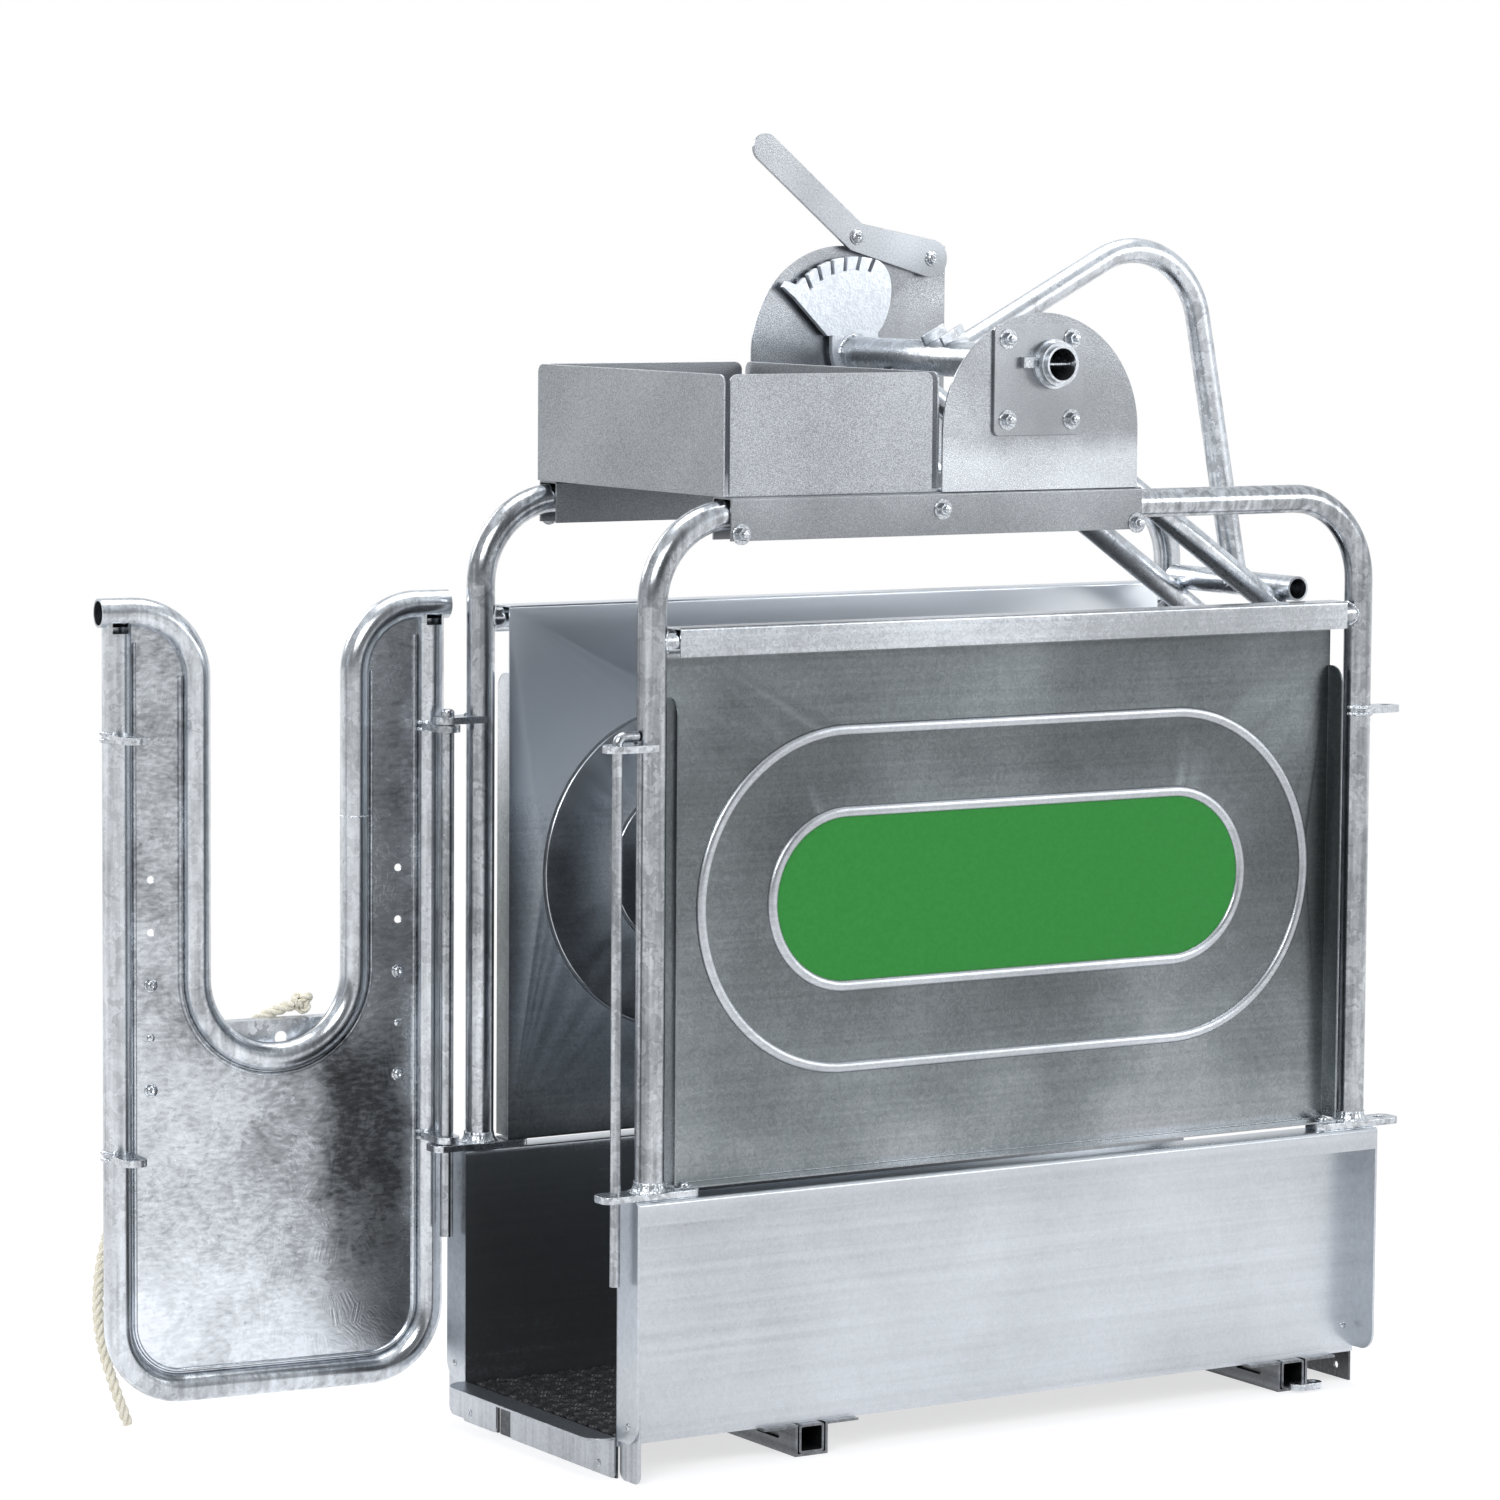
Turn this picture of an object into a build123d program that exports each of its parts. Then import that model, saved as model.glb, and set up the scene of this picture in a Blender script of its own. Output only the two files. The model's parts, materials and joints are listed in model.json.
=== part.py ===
"""Calf squeeze chute: a low sheet-metal box on two cross-members, two bent tube frames with side
panels, a swinging neck door at one end and a ratcheting squeeze clamp carried above the back.

X runs along the chute from the door end to the head end, Y from the near side to the far side
and Z up. The origin lies on the floor, on the centre line, under the front cross-member.
Lengths are in millimetres.
"""

from build123d import *
import math
import os

os.makedirs("parts", exist_ok=True)

# Box: length, outside width, heights and folds
BOX_LENGTH = 1046.0
BOX_WIDTH = 354.0
BOX_TOP = 320.0
BOX_SHEET = 3.0
BOX_FLANGE = 42.0
BOX_LIP_DROP = 26.5
END_FLANGE_GAP = 7.3
FLANGE_CORNER_R = 22.0
FOLD_R = 4.0
CORNER_PLATE_HEIGHT = 80.0

# Cross-members under the floor
CROSS_HEIGHT = 37.0
CROSS_WIDTH = 44.0
CROSS_LENGTH = 372.0
CROSS_SHEET = 3.0
CROSS_TUBE_WALL = 3.0
CROSS_TUBE_CORNER_R = 4.0
CROSS_TOP_FLANGE = 42.0
CROSS_SLOT_LENGTH = 50.0
CROSS_SLOT_WIDTH = 7.0
CROSS_SLOT_FROM_END = 60.0
EYE_R = 11.0
FRONT_CROSS_FROM_DOOR_END = 254.0
REAR_CROSS_FROM_HEAD_END = 98.0

# Floor, sill and mat
FLOOR_SHEET = 3.0
PAN_SLOT_Y = 93.0
PAN_SLOT_WIDTH = 6.0
PAN_HOLE_INSET = 25.0
PAN_HOLE_Z = 15.0
MAT_THICKNESS = 6.0
MAT_MARGIN = 1.5
SILL_REACH = 30.0
SILL_HEIGHT = 47.0
SILL_CORNER_R = 25.0
SILL_GAP_START = 61.5
SILL_GAP_END = 95.7

# Tube frames
TUBE_R = 16.85
TUBE_WALL = 2.6
FRAME_TOP = 1085.0
FRAME_BEND_R = 100.0
POST_INSET = 29.0
POST_INSET_HEAD = 24.0
POST_Y = 194.3
RAIL_R = 13.45
RAIL_WALL = 2.3
RAIL_HEIGHT = 945.0
PLATE = 8.0
LUG_WIDTH = 34.0
BASE_PLATE_OUTER = 66.0
BASE_PLATE_INNER = 60.0
BASE_PLATE_R = 11.0
LUG_LEVEL = 824.0
ROD_FROM_POST = 44.0
DROP_ROD_R = 6.0
HINGE_ROD_R = 8.0
RUNNING_GAP = 0.08
ROD_BEND_R = 9.0
DROP_ROD_BOTTOM = 224.0
HOOK_CLEARANCE = 1.5
HINGE_ROD_BOTTOM = 218.0
HINGE_ROD_HEAD = 9.0

# Side panels
PANEL_SHEET = 2.0
PANEL_FROM_POST = 28.0
PANEL_FOLD_WIDTH = 27.0
PANEL_LIP_BOTTOM = 928.0
PANEL_FLANGE_TOP = 882.0
PANEL_FLANGE_R = 20.0
SEAT_GAP = 0.15
RIB_WIDTH = 11.0
RIB_HEIGHT = 3.5
OUTER_RIB_LENGTH = 863.0
OUTER_RIB_HEIGHT = 400.0
INNER_RIB_LENGTH = 673.0
INNER_RIB_HEIGHT = 212.0
RIB_CENTRE_X = 531.5
RIB_CENTRE_Z = 640.0
INSET_SHEET = 0.6

# Platform, tray and bearing arches
PLATFORM_SHEET = 3.0
PLATFORM_START = 119.0
PLATFORM_LENGTH = 565.0
PLATFORM_DROP = 49.0
TRAY_START = 112.0
TRAY_LENGTH = 290.0
TRAY_HEIGHT = 137.0
TRAY_WIDTH = 414.0
TRAY_CORNER_R = 10.0
TRAY_CORNER_GAP = 9.0
ARCH_SHEET = 3.0
NEAR_ARCH_RADIUS = 137.0
NEAR_ARCH_SPRING = 67.0
ARCH_FOOT = 34.0
FAR_ARCH_WIDTH = 279.5
FAR_ARCH_HEIGHT = 276.0
FAR_ARCH_CORNER_R = 130.0
FAR_ARCH_SET_BACK = 8.7
BEARING_WIDTH = 127.0
BEARING_HEIGHT = 128.0
BEARING_CENTRE_OFFSET = 16.5
BEARING_CENTRE_DROP = 18.0
BEARING_PLATE = 4.0
BEARING_CORNER_R = 8.0
COLLAR_R = 28.5
COLLAR_LENGTH = 6.0
SLEEVE_R = 25.5
SLEEVE_LENGTH = 17.0
TORSION_STUB = 26.0

# Clamp: torsion tube, arms, cross tube and hoop
TORSION_R = 21.2
CLAMP_R = 15.0
CLAMP_WALL = 2.6
TORSION_X = 550.0
TORSION_Z = 1250.0
ARM_Y = 100.0
ARM_SLOPE = 34.5
ARM_DROP = 15.0
ARM_PAST_BAR = 50.8
ARM_LEAD = 14.0
CROSS_BAR_X = 984.0
CROSS_BAR_Z = 971.0
CROSS_BAR_LENGTH = 250.0
HOOP_CORNER_X = 894.0
HOOP_CORNER_Z = 1428.0
HOOP_BEND_R = 100.0
HOOP_END_OFFSET = 5.0
CHEEK_THICKNESS = 5.0
CHEEK_GAP = 2.0
CHEEK_BEHIND = 8.0
CHEEK_AHEAD = 26.0
CHEEK_RISE = 33.0

# Ratchet sector and release lever
SECTOR_THICKNESS = 8.0
SECTOR_R = 118.0
SECTOR_FROM_ARCH = 11.0
SECTOR_START = 52.0
SECTOR_TIP_R = 132.0
SECTOR_TIP_INNER_R = 111.0
NOTCH_PITCH = 10.0
NOTCH_COUNT = 6
FIRST_NOTCH = -37.0
NOTCH_DEPTH = 17.0
NOTCH_WIDTH = 5.0
NOTCH_LEAN = 12.0
SECTOR_TIP_ANGLE = 4.0
SECTOR_RIM_START = 7.0
SECTOR_RIM_END = 10.0
SECTOR_SHOULDER_R = 112.0
SECTOR_SHOULDER_ANGLE = 24.0
SECTOR_BULGE = (52.0, 76.0)
NECK_RIGHT = (33.0, 26.0)
NECK_LEFT = (-40.0, 22.0)
NECK_BASE_HEIGHT = 34.0
HUB_R = 32.0
LEVER_THICKNESS = 5.0
LEVER_PIVOT_X = 661.3
LEVER_PIVOT_Z = 1365.5
LEVER_HUB_R = 23.0
LEVER_BEND_X = 551.4
LEVER_BEND_Z = 1391.5
LEVER_TIP_X = 421.3
LEVER_TIP_Z = 1497.6
LEVER_HALF_WIDTH = 17.5
LEVER_POINT_X = 567.0
LEVER_POINT_Z = 1371.5
LEVER_POINT_R = 2.0
PIVOT_R = 5.0

# Neck door, measured from the hinge rod's axis
DOOR_OPEN_ANGLE = 174.3
DOOR_OFFSET = 54.0
DOOR_BOTTOM = 55.0
DOOR_BEND_R = 78.0
NECK_TOP = 960.0
NECK_BOTTOM = 436.0
NECK_FAR_LEG = 292.0
NECK_NEAR_LEG = 95.0
NECK_OVERHANG = 22.0
NECK_TOP_BEND_R = 78.0
NECK_LOW_BEND_R = 97.0
DOOR_SHEET = 2.5
DOOR_LUG_R = 15.0
UPPER_DOOR_LUG = 814.0
LOWER_DOOR_LUG = 329.0
DOOR_HOLE_R = 4.5
DOOR_HOLE_INSET = 40.3
DOOR_HOLE_TOP = 650.8
DOOR_HOLE_PITCH = 61.3
DOOR_HOLE_COUNT = 5
VENT_WIDTH = 19.0
VENT_DROP = 6.5
BRACKET_SHEET = 3.0
BRACKET_TOP = 476.0
BRACKET_BOTTOM = 388.0
BRACKET_EAR_TOP = 546.0
BRACKET_EAR = 34.0
BRACKET_DEPTH = 20.0
BRACKET_FOLD = 20.0
BRACKET_HOLE_U = 178.6
BRACKET_HOLE_Z = 454.0

# Rope, fixed by a knot behind the door; each point is (along the door, outward, height)
ROPE_R = 7.0
KNOT_R = 15.0
ROPE_ROUTE = [
    (154.0, 99.0, 488.6),
    (200.0, 113.0, 474.0),
    (246.0, 114.0, 428.0),
    (296.0, 111.0, 368.0),
    (346.0, 102.0, 308.0),
    (386.0, 94.0, 244.0),
    (404.0, 88.0, 168.0),
    (398.0, 84.0, 92.0),
    (367.0, 81.0, 10.0),
]

# Places worked out from the sizes above
X_DOOR_END = -FRONT_CROSS_FROM_DOOR_END
X_HEAD_END = X_DOOR_END + BOX_LENGTH
FRONT_CROSS_X = X_DOOR_END + FRONT_CROSS_FROM_DOOR_END
REAR_CROSS_X = X_HEAD_END - REAR_CROSS_FROM_HEAD_END
WALL_Y = BOX_WIDTH / 2
FLOOR_TOP = CROSS_HEIGHT + FLOOR_SHEET
DOOR_POST_X = X_DOOR_END + POST_INSET
HEAD_POST_X = X_HEAD_END - POST_INSET_HEAD
ROD_X = DOOR_POST_X - ROD_FROM_POST
PANEL_START = DOOR_POST_X + PANEL_FROM_POST
PANEL_END = HEAD_POST_X - PANEL_FROM_POST
PANEL_Y = POST_Y - TUBE_R - SEAT_GAP - PANEL_SHEET / 2
PLATFORM_BOTTOM = FRAME_TOP + TUBE_R + SEAT_GAP
PLATFORM_TOP = PLATFORM_BOTTOM + PLATFORM_SHEET
PLATFORM_Y = POST_Y + TUBE_R + SEAT_GAP + PLATFORM_SHEET
TORSION_AT_X = X_DOOR_END + TORSION_X
FAR_SECTOR_Y = PLATFORM_Y - ARCH_SHEET - SECTOR_FROM_ARCH
DOOR_WIDTH = 2 * POST_Y
DOOR_ANGLE = math.radians(DOOR_OPEN_ANGLE)
DOOR_ALONG = (math.cos(DOOR_ANGLE), math.sin(DOOR_ANGLE), 0)
DOOR_OUTWARD = (math.sin(DOOR_ANGLE), -math.cos(DOOR_ANGLE), 0)
HINGE = (ROD_X, POST_Y, 0)

pieces = {}


def at_x(distance):
    """Turns a distance from the door end into an X place."""
    return X_DOOR_END + distance


def along_x(x):
    """A plane across the chute at x, with Y to the right and Z up."""
    return Plane.YZ.offset(x)


def along_y(y):
    """A plane along the chute at y, with X to the right and Z up."""
    return Plane.XZ.offset(-y)


def door_plane(outward):
    """The door's own plane, with its local x away from the hinge rod and its local y up."""
    origin = tuple(h + outward * n for h, n in zip(HINGE, DOOR_OUTWARD))
    return Plane(origin=origin, x_dir=DOOR_ALONG, z_dir=DOOR_OUTWARD)


def door_level(z):
    """A level plane at height z about the hinge rod, with local x along the door."""
    return Plane(origin=(HINGE[0], HINGE[1], z), x_dir=DOOR_ALONG, z_dir=(0, 0, 1))


def clamp_axis(y):
    """A plane square to the torsion tube at y, with its origin on the tube's axis."""
    return Plane(origin=(TORSION_AT_X, y, TORSION_Z), x_dir=(1, 0, 0), z_dir=(0, -1, 0))


def polar(radius, angle):
    """A point at this radius, at this many degrees from straight up, positive towards +X."""
    return (radius * math.sin(math.radians(angle)), radius * math.cos(math.radians(angle)))


def towards(start, end, distance):
    """The point at this distance from start on the way to end."""
    share = distance / math.dist(start, end)
    return tuple(a + (b - a) * share for a, b in zip(start, end))


def tube_section(plane, radius, wall):
    """The ring-shaped section of a tube, drawn on the plane."""
    with BuildSketch(plane) as section:
        Circle(radius)
        Circle(radius - wall, mode=Mode.SUBTRACT)
    return section.sketch


def straight_tube(plane, radius, wall, length):
    """A tube along the plane's normal, half of it on each side of the plane."""
    with BuildPart() as tube:
        extrude(tube_section(plane, radius, wall), amount=length / 2, both=True)
    return tube.part


def rod(plane, radius, length):
    """A solid round bar that starts at the plane."""
    with BuildPart() as bar:
        with BuildSketch(plane):
            Circle(radius)
        extrude(amount=length)
    return bar.part


def bent_tube(plane, points, bends, radius, wall):
    """A tube swept along a filleted line drawn on the plane."""
    with BuildPart() as tube:
        with BuildLine(plane) as route:
            FilletPolyline(*points, radius=bends)
        end = Plane(origin=route.line @ 0, z_dir=route.line % 0)
        sweep(tube_section(end, radius, wall))
    return tube.part


def mirrored(name, source):
    """The far-side copy of a near-side piece."""
    with BuildPart() as copy:
        mirror(pieces[source], about=Plane.XZ)
    pieces[name] = copy.part


def cross_members():
    flange = CROSS_TOP_FLANGE
    half = CROSS_WIDTH / 2
    inner = half - CROSS_SHEET - SEAT_GAP
    tube_height = CROSS_HEIGHT - CROSS_SHEET
    for name, x in (("front_cross", FRONT_CROSS_X), ("rear_cross", REAR_CROSS_X)):
        with BuildPart() as channel:
            with BuildSketch(along_y(0)):
                with Locations((x, CROSS_HEIGHT / 2)):
                    Rectangle(CROSS_WIDTH, CROSS_HEIGHT)
                with Locations((x, CROSS_HEIGHT - CROSS_SHEET / 2)):
                    Rectangle(CROSS_WIDTH + flange * 2, CROSS_SHEET)
                with Locations((x, CROSS_SHEET + CROSS_HEIGHT / 2)):
                    Rectangle(inner * 2, CROSS_HEIGHT, mode=Mode.SUBTRACT)
            extrude(amount=CROSS_LENGTH / 2, both=True)
            with BuildSketch(along_x(x - half)):
                with Locations((-CROSS_LENGTH / 2 + CROSS_SLOT_FROM_END, CROSS_HEIGHT / 2)):
                    SlotOverall(CROSS_SLOT_LENGTH, CROSS_SLOT_WIDTH)
            extrude(amount=CROSS_SHEET * 2, both=True, mode=Mode.SUBTRACT)
        pieces[f"{name}_channel"] = channel.part
        outer = min(inner * 2, tube_height) - SEAT_GAP
        with BuildPart() as tube:
            with BuildSketch(along_y(0)):
                with Locations((x, CROSS_SHEET + outer / 2)):
                    RectangleRounded(outer, outer, CROSS_TUBE_CORNER_R)
                    RectangleRounded(
                        outer - 2 * CROSS_TUBE_WALL,
                        outer - 2 * CROSS_TUBE_WALL,
                        CROSS_TUBE_CORNER_R / 2,
                        mode=Mode.SUBTRACT,
                    )
            extrude(amount=CROSS_LENGTH / 2, both=True)
        pieces[f"{name}_tube"] = tube.part


def towing_eye():
    """The small flat eye on the near end of the rear cross-member."""
    hole_x = REAR_CROSS_X + CROSS_WIDTH / 2
    eye_y = -CROSS_LENGTH / 2 - EYE_R
    with BuildPart() as eye:
        with BuildSketch(Plane.XY.offset(CROSS_SHEET)):
            with Locations(((REAR_CROSS_X + hole_x) / 2, eye_y)):
                Rectangle(hole_x - REAR_CROSS_X, 2 * EYE_R)
            with Locations((hole_x, eye_y), (REAR_CROSS_X, eye_y)):
                Circle(EYE_R)
            with Locations((hole_x, eye_y)):
                Circle(EYE_R / 2, mode=Mode.SUBTRACT)
        extrude(amount=PLATE)
    pieces["rear_eye"] = eye.part


def box_walls():
    sheet = BOX_SHEET
    wall_mid = WALL_Y - sheet / 2
    edge_y = WALL_Y + BOX_FLANGE
    with BuildPart() as wall:
        with BuildSketch(along_x(X_DOOR_END)):
            with BuildLine():
                FilletPolyline(
                    (-wall_mid, CROSS_HEIGHT),
                    (-wall_mid, BOX_TOP - sheet / 2),
                    (-edge_y + sheet / 2, BOX_TOP - sheet / 2),
                    (-edge_y + sheet / 2, BOX_TOP - BOX_LIP_DROP),
                    radius=FOLD_R,
                )
            trace(line_width=sheet)
        extrude(amount=BOX_LENGTH)
        low = CROSS_HEIGHT + END_FLANGE_GAP
        high = BOX_TOP - sheet
        for x in (X_DOOR_END, X_HEAD_END - sheet):
            with BuildSketch(along_x(x)) as end:
                with Locations((-(wall_mid + edge_y) / 2, (low + high) / 2)):
                    Rectangle(edge_y - wall_mid, high - low)
                fillet(end.vertices().group_by(Axis.Y)[0].sort_by(Axis.X)[0], FLANGE_CORNER_R)
            extrude(amount=sheet)
    pieces["near_box_wall"] = wall.part
    mirrored("far_box_wall", "near_box_wall")


def corner_plates():
    with BuildPart() as plate:
        with BuildSketch(along_x(X_DOOR_END + BOX_SHEET)) as face:
            with Locations((-WALL_Y - BOX_FLANGE / 2 - SEAT_GAP, CORNER_PLATE_HEIGHT / 2)):
                Rectangle(BOX_FLANGE, CORNER_PLATE_HEIGHT)
            fillet(face.vertices().group_by(Axis.Y)[0], BASE_PLATE_R)
        extrude(amount=BOX_SHEET)
    pieces["near_corner_plate"] = plate.part
    mirrored("far_corner_plate", "near_corner_plate")


def floor_and_mat():
    half = WALL_Y - BOX_SHEET - SEAT_GAP
    sheet = FLOOR_SHEET
    with BuildPart() as pan:
        with BuildSketch(along_y(0)):
            with BuildLine():
                FilletPolyline(
                    (X_DOOR_END + sheet / 2, 0),
                    (X_DOOR_END + sheet / 2, FLOOR_TOP - sheet / 2),
                    (X_HEAD_END - sheet / 2, FLOOR_TOP - sheet / 2),
                    (X_HEAD_END - sheet / 2, 0),
                    radius=FOLD_R,
                )
            trace(line_width=sheet)
        extrude(amount=half, both=True)
        with BuildSketch(along_x(X_DOOR_END)):
            with Locations((PAN_SLOT_Y, 0)):
                Rectangle(PAN_SLOT_WIDTH, 2 * (CROSS_HEIGHT - FOLD_R))
        extrude(amount=sheet * 2, both=True, mode=Mode.SUBTRACT)
        with BuildSketch(along_x(X_HEAD_END)):
            hole_y = half - PAN_HOLE_INSET
            with Locations((-hole_y, PAN_HOLE_Z), (hole_y, PAN_HOLE_Z)):
                Circle(DOOR_HOLE_R)
        extrude(amount=sheet * 2, both=True, mode=Mode.SUBTRACT)
    pieces["floor_pan"] = pan.part
    with BuildPart() as mat:
        with BuildSketch(Plane.XY.offset(FLOOR_TOP)):
            with Locations(((X_DOOR_END + X_HEAD_END) / 2, 0)):
                Rectangle(BOX_LENGTH - 4 * FOLD_R, 2 * (half - MAT_MARGIN))
        extrude(amount=MAT_THICKNESS)
    pieces["rubber_mat"] = mat.part


def sill():
    """The nosing at the door end, with two folded plates that reach the floor."""
    half = WALL_Y - BOX_SHEET - SEAT_GAP
    sheet = BOX_SHEET
    top = SILL_HEIGHT - sheet / 2
    front = X_DOOR_END - SEAT_GAP - sheet / 2
    with BuildPart() as plate:
        with BuildSketch(along_y(0)):
            with BuildLine():
                Polyline((front - SILL_REACH, top), (front, top), (front, 0))
            trace(line_width=sheet)
        extrude(amount=half, both=True)
        nose = plate.edges().filter_by(Axis.Z).group_by(Axis.X)[0]
        fillet(nose, SILL_CORNER_R)
        with BuildSketch(along_x(front)):
            with Locations(((SILL_GAP_START + SILL_GAP_END) / 2, 0)):
                Rectangle(SILL_GAP_END - SILL_GAP_START, 2 * (SILL_HEIGHT - 2 * sheet))
        extrude(amount=sheet, both=True, mode=Mode.SUBTRACT)
        feet = plate.edges().filter_by(Axis.X).filter_by(lambda e: e.center().Z < 1)
        fillet(feet, BASE_PLATE_R / 2)
    pieces["sill_plate"] = plate.part


def tube_frames():
    points = [
        (DOOR_POST_X, BOX_TOP + PLATE),
        (DOOR_POST_X, FRAME_TOP),
        (HEAD_POST_X, FRAME_TOP),
        (HEAD_POST_X, BOX_TOP + PLATE),
    ]
    pieces["near_frame_tube"] = bent_tube(along_y(-POST_Y), points, FRAME_BEND_R, TUBE_R, TUBE_WALL)
    mirrored("far_frame_tube", "near_frame_tube")
    with BuildPart() as rail:
        with BuildSketch(along_x(DOOR_POST_X)):
            with Locations((-POST_Y, RAIL_HEIGHT)):
                Circle(RAIL_R)
                Circle(RAIL_R - RAIL_WALL, mode=Mode.SUBTRACT)
        extrude(amount=HEAD_POST_X - DOOR_POST_X)
        with Locations((DOOR_POST_X, -POST_Y, RAIL_HEIGHT), (HEAD_POST_X, -POST_Y, RAIL_HEIGHT)):
            Cylinder(TUBE_R, 4 * RAIL_R, mode=Mode.SUBTRACT)
    pieces["near_rail"] = rail.part
    mirrored("far_rail", "near_rail")


def post_plate(post_x, outward, side, rod_hole_r):
    """A base plate under one post; outward is -1 at the door end and +1 at the head end."""
    reach = post_x + outward * BASE_PLATE_OUTER
    back = post_x - outward * BASE_PLATE_INNER
    with BuildPart() as plate:
        with BuildSketch(Plane.XY.offset(BOX_TOP)) as face:
            with Locations(((reach + back) / 2, side * POST_Y)):
                Rectangle(BASE_PLATE_OUTER + BASE_PLATE_INNER, LUG_WIDTH)
            fillet(face.vertices(), BASE_PLATE_R)
            with Locations((post_x + outward * ROD_FROM_POST, side * POST_Y)):
                Circle(rod_hole_r, mode=Mode.SUBTRACT)
        extrude(amount=PLATE)
    return plate.part


def post_lug(post_x, outward, side, rod_hole_r):
    """A flat lug welded to one post, with a hole above the one in the base plate."""
    hole_x = post_x + outward * ROD_FROM_POST
    tip_r = LUG_WIDTH / 2
    with BuildPart() as lug:
        with BuildSketch(Plane.XY.offset(LUG_LEVEL)):
            with Locations(((post_x + hole_x) / 2, side * POST_Y)):
                Rectangle(ROD_FROM_POST, LUG_WIDTH)
            with Locations((hole_x, side * POST_Y)):
                Circle(tip_r)
                Circle(rod_hole_r, mode=Mode.SUBTRACT)
            with Locations((post_x, side * POST_Y)):
                Circle(TUBE_R, mode=Mode.SUBTRACT)
        extrude(amount=PLATE)
    return lug.part


def plates_and_lugs():
    drop_hole = DROP_ROD_R + RUNNING_GAP
    hinge_hole = HINGE_ROD_R + RUNNING_GAP
    corners = (
        ("door_near", DOOR_POST_X, -1, -1, drop_hole),
        ("door_far", DOOR_POST_X, -1, 1, hinge_hole),
        ("head_near", HEAD_POST_X, 1, -1, drop_hole),
        ("head_far", HEAD_POST_X, 1, 1, hinge_hole),
    )
    for name, post_x, outward, side, hole in corners:
        pieces[f"{name}_base_plate"] = post_plate(post_x, outward, side, hole)
        pieces[f"{name}_lug"] = post_lug(post_x, outward, side, hole)


def side_panels():
    sheet = PANEL_SHEET
    bottom = BOX_TOP + PLATE + SEAT_GAP + sheet / 2
    top = RAIL_HEIGHT + RAIL_R + SEAT_GAP + sheet / 2
    lip_y = POST_Y + RAIL_R + SEAT_GAP + sheet / 2
    with BuildPart() as panel:
        with BuildSketch(along_x(PANEL_START)):
            with BuildLine():
                FilletPolyline(
                    (-PANEL_Y - PANEL_FOLD_WIDTH, bottom),
                    (-PANEL_Y, bottom),
                    (-PANEL_Y, top),
                    (-lip_y, top),
                    (-lip_y, PANEL_LIP_BOTTOM),
                    radius=FOLD_R / 2,
                )
            trace(line_width=sheet)
        extrude(amount=PANEL_END - PANEL_START)
        flange_low = bottom + FOLD_R
        for x in (PANEL_START, PANEL_END - sheet):
            with BuildSketch(along_x(x)) as flange:
                with Locations((-PANEL_Y - PANEL_FOLD_WIDTH / 2, (flange_low + PANEL_FLANGE_TOP) / 2)):
                    Rectangle(PANEL_FOLD_WIDTH, PANEL_FLANGE_TOP - flange_low)
                fillet(flange.vertices().group_by(Axis.Y)[-1].sort_by(Axis.X)[0], PANEL_FLANGE_R)
            extrude(amount=sheet)
        face_y = PANEL_Y + sheet / 2
        ribs = ((OUTER_RIB_LENGTH, OUTER_RIB_HEIGHT), (INNER_RIB_LENGTH, INNER_RIB_HEIGHT))
        for length, height in ribs:
            with BuildSketch(along_y(-face_y)):
                with Locations((at_x(RIB_CENTRE_X), RIB_CENTRE_Z)):
                    SlotOverall(length, height)
                    SlotOverall(length - 2 * RIB_WIDTH, height - 2 * RIB_WIDTH, mode=Mode.SUBTRACT)
            extrude(amount=RIB_HEIGHT, taper=35)
        groove = RIB_WIDTH / 4
        for length, height in ribs:
            with BuildSketch(along_y(-PANEL_Y + sheet / 2)):
                with Locations((at_x(RIB_CENTRE_X), RIB_CENTRE_Z)):
                    SlotOverall(length - 2 * groove, height - 2 * groove)
                    inside = 2 * (RIB_WIDTH - groove)
                    SlotOverall(length - inside, height - inside, mode=Mode.SUBTRACT)
            extrude(amount=RIB_HEIGHT, taper=30, mode=Mode.SUBTRACT)
    pieces["near_side_panel"] = panel.part
    mirrored("far_side_panel", "near_side_panel")
    with BuildPart() as inset:
        with BuildSketch(along_y(-face_y)):
            with Locations((at_x(RIB_CENTRE_X), RIB_CENTRE_Z)):
                trim = 2 * (RIB_WIDTH + 2 * SEAT_GAP)
                SlotOverall(INNER_RIB_LENGTH - trim, INNER_RIB_HEIGHT - trim)
        extrude(amount=INSET_SHEET)
    pieces["near_inset"] = inset.part
    mirrored("far_inset", "near_inset")


def rods():
    hook_z = LUG_LEVEL + PLATE + ROD_BEND_R + SEAT_GAP
    hook_end = DOOR_POST_X - TUBE_R - HOOK_CLEARANCE
    drop = [(ROD_X, DROP_ROD_BOTTOM), (ROD_X, hook_z), (hook_end, hook_z)]
    with BuildPart() as bar:
        with BuildLine(along_y(-POST_Y)) as route:
            FilletPolyline(*drop, radius=ROD_BEND_R)
        with BuildSketch(Plane(origin=route.line @ 0, z_dir=route.line % 0)):
            Circle(DROP_ROD_R)
        sweep()
    pieces["drop_rod"] = bar.part
    with BuildPart() as hinge:
        with BuildSketch(Plane.XY.offset(HINGE_ROD_BOTTOM)):
            with Locations((ROD_X, POST_Y)):
                Circle(HINGE_ROD_R)
        extrude(amount=LUG_LEVEL + PLATE - HINGE_ROD_BOTTOM + HINGE_ROD_HEAD)
        fillet(hinge.edges().group_by(Axis.Z)[-1], HINGE_ROD_R / 2)
    pieces["hinge_rod"] = hinge.part


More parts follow.
